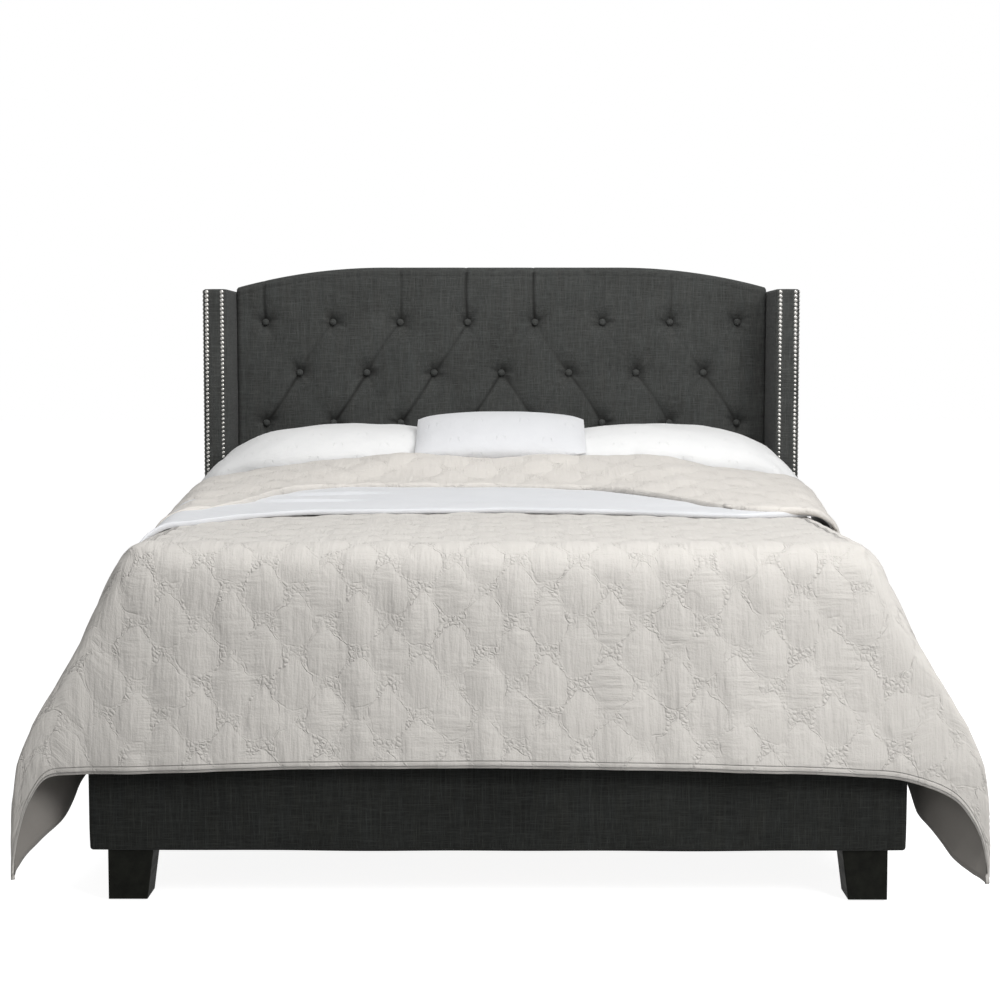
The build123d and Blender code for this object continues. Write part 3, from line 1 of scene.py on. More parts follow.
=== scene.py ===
"""Wingback bed with a buttoned headboard, dressed with a quilt, a folded sheet and pillows.

Metres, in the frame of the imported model: +X to the right seen from the foot, +Y to the headboard, +Z up.
"""
import json
from functools import partialmethod

import bpy
import numpy as np
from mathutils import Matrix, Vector


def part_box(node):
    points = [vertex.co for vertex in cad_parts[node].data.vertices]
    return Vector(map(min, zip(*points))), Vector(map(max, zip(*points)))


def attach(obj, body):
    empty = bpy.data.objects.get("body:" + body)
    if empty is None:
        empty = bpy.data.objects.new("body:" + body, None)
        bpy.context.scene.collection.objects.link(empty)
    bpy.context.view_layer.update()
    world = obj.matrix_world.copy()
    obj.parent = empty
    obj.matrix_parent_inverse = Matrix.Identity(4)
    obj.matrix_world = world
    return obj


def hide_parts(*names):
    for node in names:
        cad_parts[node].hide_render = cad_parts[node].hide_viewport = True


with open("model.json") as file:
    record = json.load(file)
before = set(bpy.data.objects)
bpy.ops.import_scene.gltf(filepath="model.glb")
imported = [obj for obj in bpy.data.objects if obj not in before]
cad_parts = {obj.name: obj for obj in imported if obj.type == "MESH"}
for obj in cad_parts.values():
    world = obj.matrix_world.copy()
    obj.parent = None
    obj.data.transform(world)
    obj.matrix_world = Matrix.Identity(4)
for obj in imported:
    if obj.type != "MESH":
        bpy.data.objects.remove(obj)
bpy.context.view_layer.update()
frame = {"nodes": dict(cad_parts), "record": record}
BED = "bed"

# Places taken from the model's own nodes: lowest and highest corners
LOW, HIGH = 0, 1
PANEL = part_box("headboard_cover")
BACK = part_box("headboard_back_cover")
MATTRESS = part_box("mattress")
QUILT_TOP = MATTRESS[HIGH][2] + 0.0115

# Stitched medallions: half their width and height as shares of the pattern's repeat, how narrow their
# top is, and the power of their outline, 2 for an ellipse and more for a fuller shape
MEDALLION_WIDE, MEDALLION_TALL = 0.29, 0.39
NARROW_TOP, FULLNESS = 0.3, 2.5


# Small tools for arrays

def smooth_step(x, low, high):
    """0 below low, 1 above high, and the cubic 3t^2 - 2t^3 between them."""
    t = np.clip((x - low) / (high - low), 0, 1)
    return t * t * (3 - 2 * t)


def soft_noise(x, y, wavelength, seed, waves=14):
    """Sum of sines in random directions whose wavelengths lie near the given one; about -1 to 1."""
    r = np.random.default_rng(seed)
    total = np.zeros(np.broadcast(x, y).shape)
    for _ in range(waves):
        angle, phase = r.uniform(0, 2 * np.pi, 2)
        k = 2 * np.pi / (wavelength * r.uniform(0.7, 1.6))
        total = total + np.sin(k * (x * np.cos(angle) + y * np.sin(angle)) + phase)
    return total / np.sqrt(waves) / 1.2


def grid_normals(points):
    """Unit normals of a grid: the cross product of its two central differences."""
    normal = np.cross(np.gradient(points, axis=1), np.gradient(points, axis=0))
    return normal / np.maximum(np.linalg.norm(normal, axis=-1, keepdims=True), 1e-12)


def blur(values, widths):
    """Gaussian mean of values along axis 0, each entry by its own width in samples."""
    index = np.arange(len(values))
    weight = np.exp(-0.5 * ((index[:, None] - index[None]) / np.maximum(widths, 1e-3)[:, None]) ** 2)
    return weight @ values / weight.sum(1, keepdims=True)


def spread(low, high, count):
    """Even numbers from low to high, with both."""
    return np.linspace(low, high, count)


def stacked(*parts):
    """Coordinates brought to one shape and put side by side on a last axis."""
    return np.stack(np.broadcast_arrays(*parts), -1)


def look_up(table, row, col):
    """Value at a place between four entries of a table, each weighed by how near it is."""
    i, j = row.astype(int), col.astype(int)
    down, right = (row - i)[..., None], (col - j)[..., None]
    upper = (1 - right) * table[i, j] + right * table[i, j + 1]
    lower = (1 - right) * table[i + 1, j] + right * table[i + 1, j + 1]
    return (1 - down) * upper + down * lower


# Meshes

def put_in(name, data):
    """Object with the given data, in the scene."""
    thing = bpy.data.objects.new(name, data)
    bpy.context.collection.objects.link(thing)
    return thing


def grid_quads(rows, cols, wrap, flip):
    """Vertex numbers of a grid, with the first column again at its end if it wraps, and those of its quads."""
    index = np.arange(rows * cols).reshape(rows, cols)
    if wrap:
        index = np.concatenate([index, index[:, :1]], axis=1)
    quads = np.stack([index[:-1, :-1], index[:-1, 1:], index[1:, 1:], index[1:, :-1]], -1).reshape(-1, 4)
    return index, quads[:, ::-1] if flip else quads


def put_mesh(name, vertices, faces, material):
    """Smooth mesh from arrays, as a piece that rides on the bed."""
    mesh = bpy.data.meshes.new(name)
    mesh.from_pydata(vertices.tolist(), [], faces)
    mesh.polygons.foreach_set("use_smooth", np.ones(len(mesh.polygons), bool))
    mesh.materials.append(material)
    piece = put_in(name, mesh)
    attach(piece, BED)
    return piece


def loop_vertices(mesh):
    """Number of the vertex at each corner of each face."""
    numbers = np.empty(len(mesh.loops), np.int32)
    mesh.loops.foreach_get("vertex_index", numbers)
    return numbers


def surface(name, points, material, uv=None, wrap=False, flip=False, caps=False, marks=None):
    """Grid of points (rows, columns, 3) made into quads; wrap joins the last column to the first,
    and caps close the first and the last row with a fan round their mean."""
    index, quads = grid_quads(*points.shape[:2], wrap, flip)
    vertices = points.reshape(-1, 3)
    faces = quads.tolist()
    if caps:
        n = len(vertices)
        vertices = np.concatenate([vertices, points[[0, -1]].mean(1)])
        for row, centre, turn in ((index[0], n, flip), (index[-1], n + 1, not flip)):
            fans = np.stack([row[1:], row[:-1], np.full(len(row) - 1, centre)], -1)
            faces += (fans[:, ::-1] if turn else fans).tolist()
    piece = put_mesh(name, vertices, faces, material)
    mesh = piece.data
    if uv is not None:
        flat = uv.reshape(-1, 2)
        if caps:
            flat = np.concatenate([flat, uv[[0, -1]].mean(1)])
        layer = mesh.uv_layers.new(name="UVMap")
        layer.data.foreach_set("uv", flat[loop_vertices(mesh)].ravel().astype(np.float32))
    for key, values in (marks or {}).items():
        layer = mesh.attributes.new(key, "FLOAT", "POINT")
        layer.data.foreach_set("value", np.resize(values.ravel(), len(vertices)).astype(np.float32))
    mesh.update()
    return piece


def stand_for(piece, node, slot):
    """Hide the CAD node that a piece stands for; the slot that would name its finish is not used."""
    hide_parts(node)


def thicken(piece, thickness):
    """Give a sheet its thickness, inwards."""
    solid = piece.modifiers.new("thickness", "SOLIDIFY")
    solid.thickness, solid.offset = thickness, -1
    solid.use_even_offset = False
    return piece


def rounded(x, y, inset, radius):
    """Rounded rectangle, drawn in by an inset, as the points of its four quarter circles."""
    x0, x1, y0, y1 = x[0] + inset, x[1] - inset, y[0] + inset, y[1] - inset
    r = max(min(radius - inset, (x1 - x0) / 2, (y1 - y0) / 2), 1e-4)
    turn = spread(0, np.pi / 2, 7)
    corners = [(x1 - r, y1 - r, 0), (x0 + r, y1 - r, 1), (x0 + r, y0 + r, 2), (x1 - r, y0 + r, 3)]
    return np.concatenate([
        stacked(cx + r * np.cos(turn + k * np.pi / 2), cy + r * np.sin(turn + k * np.pi / 2))
        for cx, cy, k in corners
    ])


def loop(x, y, inset, radius, step):
    """Rounded rectangle at even steps, straight runs included. The steps are counted before the inset, so
    that rings of every inset have the same number of points."""
    whole = rounded(x, y, 0, radius)
    runs = np.linalg.norm(np.roll(whole, -1, axis=0) - whole, axis=1)
    counts = np.maximum(1, np.round(runs / step).astype(int))
    points = rounded(x, y, inset, radius)
    ahead = np.roll(points, -1, axis=0)
    return np.concatenate([
        a + (b - a) * np.arange(n)[:, None] / n for a, b, n in zip(points, ahead, counts)
    ])


def soft_box(name, x, y, z, material, edge, corner, step, seed, puff=0.0, ripple=0.0):
    """Rounded box: rounded rectangles carried up, drawn in along a quarter circle at both ends.
    A puff pushes the faces out by (1 - u^4)(1 - v^4), and a ripple adds soft waves along the normal."""
    turn = spread(0, np.pi / 2, 6)
    half = min(x[1] - x[0], y[1] - y[0]) / 2
    closing = [c for c in (half * 0.98, half * 0.7, half * 0.4, edge * 1.6) if c > edge * 1.2]
    count = max(4, int((z[1] - z[0]) / step))
    insets = closing + list(edge * (1 - np.sin(turn))) + [0.0] * (count - 1)
    insets += list(edge * (1 - np.cos(turn))) + closing[::-1]
    heights = [z[0]] * len(closing) + list(z[0] + edge * (1 - np.cos(turn)))
    heights += list(spread(z[0] + edge, z[1] - edge, count + 1)[1:-1])
    heights += list(z[1] - edge * (1 - np.sin(turn))) + [z[1]] * len(closing)
    heights = np.array(heights)
    base = loop(x, y, 0, corner, step)
    rings = np.stack([loop(x, y, inset, corner, step) for inset in insets])
    points = stacked(rings[..., 0], rings[..., 1], heights[:, None])
    normal = grid_normals(points)
    low, high = np.array([x, y, z]).T
    centre = (low + high) / 2
    outward = np.sign(((points - centre) * normal).sum(-1).mean())
    normal = normal * outward
    u = np.clip(np.abs((points - centre) / ((high - low) / 2)), 0, 1)
    flat = np.abs(normal) > 0.9
    bulge = np.prod(np.where(flat, 1, 1 - u ** 4), axis=-1) * flat.any(-1)
    wave = soft_noise(points[..., 0] + points[..., 2], points[..., 1] - 0.7 * points[..., 2], 0.35, seed)
    points = points + normal * (puff * bulge + ripple * wave * bulge)[..., None]
    along = np.concatenate([[0], np.cumsum(np.linalg.norm(np.diff(base, axis=0), axis=1))])
    uv = stacked(along[None], heights[:, None])
    return surface(name, points, material, uv, wrap=True, flip=outward < 0, caps=True)


def tape(name, path, radius, material):
    """Round cord along a closed, level path: a circle carried on the path's normal and binormal."""
    tangent = np.roll(path, -1, 0) - np.roll(path, 1, 0)
    tangent = tangent / np.linalg.norm(tangent, axis=1, keepdims=True)
    side = np.cross(tangent, np.array([0, 0, 1.0]))
    side /= np.linalg.norm(side, axis=1, keepdims=True)
    over = np.cross(side, tangent)
    angle = spread(0, 2 * np.pi, 9)[:-1]
    ring = side[:, None] * np.cos(angle)[None, :, None] + over[:, None] * np.sin(angle)[None, :, None]
    points = path[:, None] + radius * ring
    return surface(name, np.concatenate([points, points[:1]]), material, wrap=True, flip=True)


# Materials

class Nodes:
    """Node tree; each call adds what its name says and gives one of its outputs. A number or a socket can
    be put in at each place."""

    def __init__(self, tree):
        self.nodes, self.links = tree.nodes, tree.links

    def fill(self, node, values):
        """Put a number or a socket in at each input that is named or counted; gives the outputs."""
        for key, value in values.items():
            if isinstance(value, bpy.types.NodeSocket):
                self.links.new(value, node.inputs[key])
            else:
                node.inputs[key].default_value = value
        return node.outputs

    def add(self, kind, *inputs, output=0, **settings):
        node = self.nodes.new(kind)
        for key, value in settings.items():
            setattr(node, key, value)
        return self.fill(node, dict(enumerate(inputs)))[output]

    def math(self, operation, *inputs):
        return self.add("ShaderNodeMath", *inputs, operation=operation)

    plus, minus = partialmethod(math, "ADD"), partialmethod(math, "SUBTRACT")
    times, over = partialmethod(math, "MULTIPLY"), partialmethod(math, "DIVIDE")
    madd, power = partialmethod(math, "MULTIPLY_ADD"), partialmethod(math, "POWER")
    least, most = partialmethod(math, "MINIMUM"), partialmethod(math, "MAXIMUM")
    absolute, fraction = partialmethod(math, "ABSOLUTE"), partialmethod(math, "FRACT")

    def place(self, kind="Object"):
        return self.add("ShaderNodeTexCoord", output=kind)

    def attribute(self, name):
        return self.add("ShaderNodeAttribute", output="Fac", attribute_name=name)

    def parts(self, vector):
        return [self.add("ShaderNodeSeparateXYZ", vector, output=k) for k in (0, 1)]

    def noise(self, vector, scale, detail=2.0, roughness=0.5):
        node = self.nodes.new("ShaderNodeTexNoise")
        return self.fill(node, {"Vector": vector, "Scale": scale, "Detail": detail, "Roughness": roughness})[0]

    def stretched(self, vector, scale, detail=3.0, roughness=0.5):
        scaled = self.fill(self.nodes.new("ShaderNodeMapping"), {"Vector": vector, "Scale": scale})[0]
        return self.noise(scaled, 1.0, detail, roughness)

    def between(self, value, low, high, start=0.0, end=1.0):
        return self.add("ShaderNodeMapRange", value, low, high, start, end)

    def blend(self, share, first, second):
        node = self.nodes.new("ShaderNodeMix")
        node.data_type = "RGBA"
        return self.fill(node, {0: share, 6: first, 7: second})[2]

    def seen_by(self, *rays):
        """1 for rays of the kinds named, 0 for the light that falls on the bed."""
        path = self.nodes.new("ShaderNodeLightPath").outputs
        seen = path[rays[0]]
        for ray in rays[1:]:
            seen = self.most(seen, path[ray])
        return seen


class Finish(Nodes):
    """Node tree of one material."""

    def __init__(self, name):
        self.material = bpy.data.materials.new(name)
        self.material.use_nodes = True
        super().__init__(self.material.node_tree)
        self.shader = self.nodes["Principled BSDF"]

    def done(self, colour, rough=0.9, height=None, depth=0.001, metal=0.0, sheen=0.0, specular=0.3):
        """Colour, roughness and a bump of the given depth in metres, put on the shader."""
        values = {"Base Color": colour, "Roughness": rough, "Metallic": metal, "Specular IOR Level": specular,
                  "Sheen Weight": sheen, "Sheen Roughness": 0.5}
        if height is not None:
            bump = self.nodes.new("ShaderNodeBump")
            values["Normal"] = self.fill(bump, {"Strength": 1.0, "Distance": depth, "Height": height})[0]
        self.fill(self.shader, values)
        return self.material


def grey(value, tint):
    return tuple(value * t for t in tint) + (1.0,)


def darker(colour, share):
    return tuple(share * c for c in colour[:3]) + (1.0,)


def slub_linen(name, dark, light, tint):
    """Plain weave of uneven yarns: two crossed sets of stretched noise, lighter where a thick yarn comes up,
    bluer or greener from yarn to yarn, and darkened by painted shade where the "fold" mark is high."""
    f = Finish(name)
    place = f.place()
    across, upward, wide_slub, level_slub = (
        f.stretched(place, scale, roughness=0.7)
        for scale in ((26, 26, 620), (620, 620, 22), (170, 170, 6), (7, 7, 190))
    )
    yarn = f.most(across, upward)
    patch = f.noise(place, 5.0, 3.0, 0.6)
    tone = f.madd(f.between(yarn, 0.45, 0.82), 0.62, f.times(patch, 0.3))
    tone = f.madd(f.between(wide_slub, 0.42, 0.72), 0.13, tone)
    tone = f.madd(f.between(level_slub, 0.45, 0.72), 0.13, tone)
    hue = f.stretched(place, (60, 60, 9), 2.0)
    dyed = f.blend(hue, grey(light, tint), grey(light, (0.93, 1.02, 1.0)))
    # Painted shade: darker in the headboard's creases and round its buttons, where the "fold" mark is high
    tone = f.times(tone, f.between(f.attribute("fold"), 0.0, 1.0, 1.0, 0.12))
    return f.done(f.blend(tone, grey(dark, tint), dyed), 0.92, yarn, 0.0011, sheen=0.06, specular=0.14)


def medallion_rings(f, u, v, wide, tall):
    """Distance from the middle of the nearest medallion, 1 on its stitched line: two staggered sets of
    rounded shapes that narrow upwards."""
    rings = []
    for offset in (0.5, 1.0):
        across = f.minus(f.fraction(f.plus(f.over(u, wide), offset)), 0.5)
        down = f.minus(f.fraction(f.plus(f.over(v, tall), offset)), 0.5)
        narrow = f.between(down, -MEDALLION_TALL, -0.25 * MEDALLION_TALL, NARROW_TOP, 1.0)
        x = f.over(f.times(across, 1 / MEDALLION_WIDE), narrow)
        y = f.times(down, 1 / MEDALLION_TALL)
        powers = (f.power(f.absolute(k), FULLNESS) for k in (x, y))
        rings.append(f.power(f.plus(*powers), 1 / FULLNESS))
    return f.least(*rings)


def quilted_cotton(name, pattern, colour, shade):
    """Washed cotton: puffed medallions with fine creases, stippled stitching between them, and a double
    row of stitches along the hem."""
    wide, tall, shift = pattern
    f = Finish(name)
    flat = f.place("UV")
    u, v = (
        f.madd(f.minus(f.stretched(flat, wander), 0.5), 0.042, f.minus(along, start))
        for along, start, wander in zip(f.parts(flat), shift, ((13, 17, 1), (19, 12, 1)))
    )
    ring = medallion_rings(f, u, v, wide, tall)
    puff = f.between(ring, 1.1, 0.7)
    patch, broken = f.noise(flat, 11.0), f.noise(flat, 34.0)

    def stitches(at, width, low, high, faint):
        """Line of stitches round the medallions, 0 on the line, faint or missing where the noise says so."""
        missing = f.between(broken, low, high, faint, 1.0)
        return f.between(f.absolute(f.minus(ring, at)), 0.0, width, missing, 1.0)

    seam, echo = stitches(1.06, 0.06, 0.36, 0.56, 0.1), stitches(1.36, 0.05, 0.62, 0.46, 0.4)
    cells = f.nodes.new("ShaderNodeTexVoronoi")
    cells.feature = "DISTANCE_TO_EDGE"
    bent = f.add("ShaderNodeVectorMath", flat, f.times(f.noise(flat, 70.0), 0.012), operation="ADD")
    stipple = f.between(f.fill(cells, {"Vector": bent, "Scale": 105.0})[0], 0.0, 0.3)
    band = f.times(f.between(ring, 1.0, 1.12), f.between(f.noise(flat, 15.0), 0.4, 0.56, 0.12, 1.0))
    upright = f.stretched(flat, (62, 8, 1), roughness=0.55)
    level = f.stretched(flat, (9, 58, 1), roughness=0.55)
    creases = f.times(level, f.between(patch, 0.55, 0.35))
    creases = f.plus(f.times(upright, f.between(patch, 0.3, 0.5)), creases)
    height = f.madd(f.times(stipple, band), 0.34, f.times(creases, 0.95))
    height = f.madd(f.noise(flat, 190.0, 3.0, 0.65), 0.2, height)
    height = f.madd(f.plus(f.plus(seam, echo), f.times(puff, 0.4)), 0.25, height)
    for place, width in ((0.0135, 0.002), (0.004, 0.0016)):
        line = f.between(f.absolute(f.minus(f.attribute("hem"), place)), 0.0, width)
        height = f.madd(line, 0.5, height)
    # Painted shade: darker along the stitched lines, in the stipple's grooves and down in the crease valleys;
    # the broad noise is the cloth's own uneven tone
    tone = f.times(f.times(band, f.minus(1.0, stipple)), 0.12)
    tone = f.madd(f.minus(1.0, seam), 0.1, tone)
    tone = f.madd(f.noise(flat, 3.0, 3.0), 0.3, tone)
    tone = f.madd(f.between(creases, 0.3, 0.7, 1.0, 0.0), 0.14, tone)
    return f.done(f.blend(tone, colour, shade), 0.93, height, 0.0045, sheen=0.12, specular=0.12)


def plain_cotton(name, colour, shade):
    """Smooth percale: a very fine weave with faint long creases."""
    f = Finish(name)
    place = f.place()
    soft = f.noise(place, 7.0, 4.0, 0.6)
    creases = f.stretched(place, (10, 34, 34), roughness=0.55)
    height = f.plus(f.times(creases, 0.4), f.times(f.noise(place, 1400.0, 1.0), 0.04))
    return f.done(f.blend(soft, colour, shade), 0.88, height, 0.003, sheen=0.25, specular=0.2)


def pillow_cotton(name, colour, shade):
    """White cover stitched with faint tufts where its medallions meet."""
    f = Finish(name)
    flat = f.place("UV")
    ring = medallion_rings(f, *f.parts(flat), 0.124, 0.122)
    tufts = f.between(f.stretched(flat, (210, 130, 1), roughness=0.7), 0.4, 0.6)
    line = f.minus(1.0, f.times(f.between(ring, 1.3, 1.55), tufts))
    creases = f.noise(flat, 22.0, 4.0, 0.6)
    height = f.plus(f.times(line, 0.55), f.times(creases, 0.62))
    height = f.plus(height, f.times(f.noise(flat, 1300.0, 1.0), 0.04))
    tone = f.plus(f.times(f.minus(1.0, line), 0.12), f.times(creases, 0.4))
    return f.done(f.blend(tone, colour, shade), 0.9, height, 0.004, sheen=0.2, specular=0.18)


def ticking(name, colour, shade):
    """Woven mattress cover with narrow darker stripes."""
    f = Finish(name)
    flat = f.place("UV")
    stripe = f.fraction(f.times(f.parts(flat)[0], 36.0))
    line = f.between(f.absolute(f.minus(stripe, 0.5)), 0.04, 0.1)
    weave = f.stretched(flat, (900, 900, 1), 2.0)
    tone = f.plus(f.times(line, 0.8), f.times(weave, 0.2))
    return f.done(f.blend(tone, shade, colour), 0.9, f.plus(weave, line), 0.0006, sheen=0.1, specular=0.2)


def wood(name, light, dark, grain, specular=0.35):
    """Long grain: noise stretched along one axis, with darker late wood and fine pores."""
    f = Finish(name)
    place = f.place()
    long = f.stretched(place, (grain, grain * 0.08, grain), 4.0, 0.6)
    pores = f.stretched(place, (700, 40, 700), 2.0)
    tone = f.plus(f.between(long, 0.35, 0.7), f.times(pores, 0.25))
    roughness = f.between(long, 0.3, 0.7, 0.57, 0.75)
    return f.done(f.blend(tone, light, dark), roughness, f.plus(pores, long), 0.0004, specular=specular)


def metal(name, colour, rough):
    """Plated metal with faint scratches and duller patches."""
    f = Finish(name)
    place = f.place()
    fine, patch = f.stretched(place, (300, 300, 60)), f.noise(place, 30.0, 3.0)
    roughness = f.between(f.plus(f.times(fine, 0.5), f.times(patch, 0.5)), 0.3, 0.7, rough, rough + 0.18)
    tone = f.blend(patch, darker(colour, 0.75), colour)
    return f.done(tone, roughness, fine, 0.00008, metal=1.0, specular=0.5)


def plain(name, colour, rough, scale, depth):
    """Matte moulded or foamed stuff with a fine grain."""
    f = Finish(name)
    grain = f.noise(f.place(), scale, 3.0)
    return f.done(f.blend(grain, darker(colour, 0.8), colour), rough, grain, depth)


CHARCOAL = slub_linen("charcoal_linen", 0.021, 0.112, (1.0, 1.0, 0.94))
# The headboard's linen made much darker: painted shade for the rails that sit low under the quilt
RAIL_LINEN_PAINTED_SHADE = slub_linen("rail_linen_painted_shade", 0.0012, 0.05, (1.0, 1.03, 0.9))
# Repeat of the stitched pattern across and down, and where it starts
QUILT_PATTERN, UPPER_PATTERN = (0.1237, 0.1225, (0.0367, 0.0045)), (0.148, 0.142, (0.02, 0.04))
QUILTING = quilted_cotton("quilted_cotton", QUILT_PATTERN, (0.605, 0.582, 0.549, 1), (0.465, 0.443, 0.415, 1))
UPPER_QUILTING = quilted_cotton("upper_quilting", UPPER_PATTERN, (0.67, 0.64, 0.6, 1), (0.53, 0.5, 0.465, 1))
# The quilt's backing, a real layer, its colour made darker as painted shade for the inside of the hanging
# skirt
QUILT_BACKING_PAINTED_SHADE = plain_cotton("quilt_backing_painted_shade", (0.33, 0.31, 0.285, 1), (0.22, 0.205, 0.19, 1))
PERCALE = plain_cotton("white_percale", (0.7, 0.71, 0.73, 1), (0.61, 0.62, 0.64, 1))
PILLOW_COVER = pillow_cotton("pillow_cotton", (0.8, 0.8, 0.795, 1), (0.68, 0.685, 0.69, 1))
SMALL_COVER = pillow_cotton("small_pillow_cotton", (0.7, 0.705, 0.72, 1), (0.58, 0.585, 0.605, 1))
MATTRESS_TICKING = ticking("mattress_ticking", (0.78, 0.77, 0.74, 1), (0.5, 0.52, 0.55, 1))
FOUNDATION_TICKING = ticking("foundation_ticking", (0.7, 0.69, 0.66, 1), (0.42, 0.42, 0.43, 1))
DUST_CLOTH = slub_linen("dust_cloth", 0.02, 0.07, (1, 1, 0.97))
FINISHES = {
    "leg_finish": wood("stained_legs", (0.0055, 0.006, 0.004, 1), (0.0025, 0.0027, 0.0018, 1), 50.0,
                       specular=0.1),
    "timber": wood("planed_timber", (0.62, 0.45, 0.28, 1), (0.44, 0.29, 0.16, 1), 40.0),
    "nickel": metal("nickel_nails", (0.42, 0.41, 0.39, 1), 0.24),
    "zinc": metal("zinc_steel", (0.55, 0.55, 0.56, 1), 0.35),
    "black_plastic": plain("black_plastic", (0.03, 0.03, 0.03, 1), 0.6, 900.0, 0.0002),
    "foam": plain("upholstery_foam", (0.75, 0.7, 0.52, 1), 0.95, 600.0, 0.001),
    "upholstery": CHARCOAL,
    "rail_fabric": RAIL_LINEN_PAINTED_SHADE,
    "lining": DUST_CLOTH,
    "ticking": MATTRESS_TICKING,
    "quilt_cotton": QUILTING,
    "sheet_cotton": PERCALE,
    "pillow_cotton": PILLOW_COVER,
}
for part in frame["record"]["subparts"]:
    node = frame["nodes"][part["node"]]
    node.data.materials.clear()
    node.data.materials.append(FINISHES[part["material_slot"]])


# Headboard

# Half of the level middle of the arch and its radius, then the buttons: top row below the top, distance of
# rows and of neighbours, and depth of their seats; how far the fabric stands out between them, the depth at
# which a fold starts to flatten and how much deeper it can go; radius of the cover's edges
ARCH_FLAT, ARCH_RADIUS = 0.35, 1.69
TOP_ROW, ROW_PITCH, BUTTON_PITCH, BUTTON_SINK = 0.164, 0.152, 0.2036, 0.017
PROUD, DEEP, DEEPER = 0.0055, 0.012, 0.0075
EDGE_ROLL = 0.016
HEAD_TOP = PANEL[HIGH][2]
BUTTON_ROWS = [(HEAD_TOP - TOP_ROW - ROW_PITCH * row, 8 - row % 2) for row in range(3)]
BUTTONS = np.array([((i - (n - 1) / 2) * BUTTON_PITCH, z) for z, n in BUTTON_ROWS for i in range(n)])
# How strong the pleat above each top button is
TOP_PLEATS = (0.7, 0.15, 0.5, 1.0, 0.95, 0.15, 0.4, 0.12)


def arch(x):
    """Height of the headboard's top: level in the middle, then an arc."""
    past = np.maximum(np.abs(x) - ARCH_FLAT, 0)
    return HEAD_TOP - ARCH_RADIUS + np.sqrt(ARCH_RADIUS ** 2 - past ** 2)


def pleat_lines():
    """Pleats, each with its two ends, depth and width: from the top buttons to the top edge, down from the
    lowest ones, and between neighbouring rows, where those that lean outwards going down are the sharper."""
    r = np.random.default_rng(17)
    lines = [
        (x, z, x + r.uniform(-0.006, 0.006), HEAD_TOP + 0.02, 0.0115 * strength, 0.007)
        for (x, z), strength in zip(BUTTONS[:8], TOP_PLEATS)
    ]
    lines += [(x, z, x, PANEL[LOW][2], 0.006, 0.009) for x, z in BUTTONS[-8:]]
    for x, z in BUTTONS:
        for a, b in BUTTONS:
            if 0 < z - b < 0.2 and abs(a - x) < 0.15:
                outward = abs(a) > abs(x)
                strength = (0.55 if z > HEAD_TOP - 0.2 else 1.1) if outward else 0.16
                lines.append((x, z, a, b, 0.0105 * strength * r.uniform(0.75, 1.2), 0.009))
    return lines


def tufted_depth(x, z):
    """How far the cover lies behind its flat front: a steep cone at each button, with small creases round
    it, and along each pleat a fold that is sharp on one side and soft on the other; the fabric between
    them stands a little proud. Gives the depth and a share of painted shade, 0 to 1, round the buttons and in
    the pleats' creases."""
    depth, near = np.full(x.shape, -PROUD), np.full(x.shape, 1.0)
    shade, fold = np.zeros(x.shape), np.zeros(x.shape)
    for k, (a, b) in enumerate(BUTTONS):
        r, angle = np.hypot(x - a, z - b), np.arctan2(z - b, x - a)
        cone = (BUTTON_SINK + 0.005) * np.exp(-np.maximum(r - 0.008, 0) / 0.02)
        ray = sum(
            size * np.sin(number * angle + shift * k)
            for size, number, shift in ((1, 3, 1.7), (0.8, 5, 2.9), (0.6, 9, 4.1))
        )
        crease = 0.0017 * ray * np.exp(-((r - 0.024) / 0.014) ** 2)
        depth = depth + cone + crease
        # Painted shade round each button, darker on some sides by its creases
        dark = np.exp(-np.maximum(r - 0.011, 0) / 0.009) * np.clip(0.62 + 0.3 * ray, 0, 1)
        shade, near = np.maximum(shade, dark), np.minimum(near, r / 0.1)
    for x0, z0, x1, z1, amount, width in pleat_lines():
        run = np.array([x1 - x0, z1 - z0])
        length = np.hypot(*run)
        t = np.clip(((x - x0) * run[0] + (z - z0) * run[1]) / length ** 2, 0, 1)
        bow = 0.004 * np.sin(np.pi * t) * np.sign(amount - 0.006)
        side = ((x - x0) * run[1] - (z - z0) * run[0]) / length + bow
        beyond = np.hypot(x - x0 - t * run[0], z - z0 - t * run[1])
        off = np.where((t > 0) & (t < 1), np.abs(side), beyond)
        reach = np.where(side > 0, width * 0.4, width * 1.9)
        taper = 1 - (0.5 if abs(x1 - x0) > 0.02 else 0.3) * np.sin(np.pi * t) ** 2
        fold = np.maximum(fold, amount * taper * np.exp(-off / reach))
        # Painted shade along the pleat's crease
        shade = np.maximum(shade, amount / 0.009 * taper * np.exp(-((off / 0.0042) ** 2)))
    wave = 0.0014 * soft_noise(x, z, 0.16, 3) + 0.0007 * soft_noise(x, z, 0.05, 4)
    depth = depth + fold + wave * np.clip(near, 0, 1)
    limited = DEEP + DEEPER * np.tanh((depth - DEEP) / DEEPER)
    return np.where(depth > DEEP, limited, depth), np.clip(shade, 0, 1)


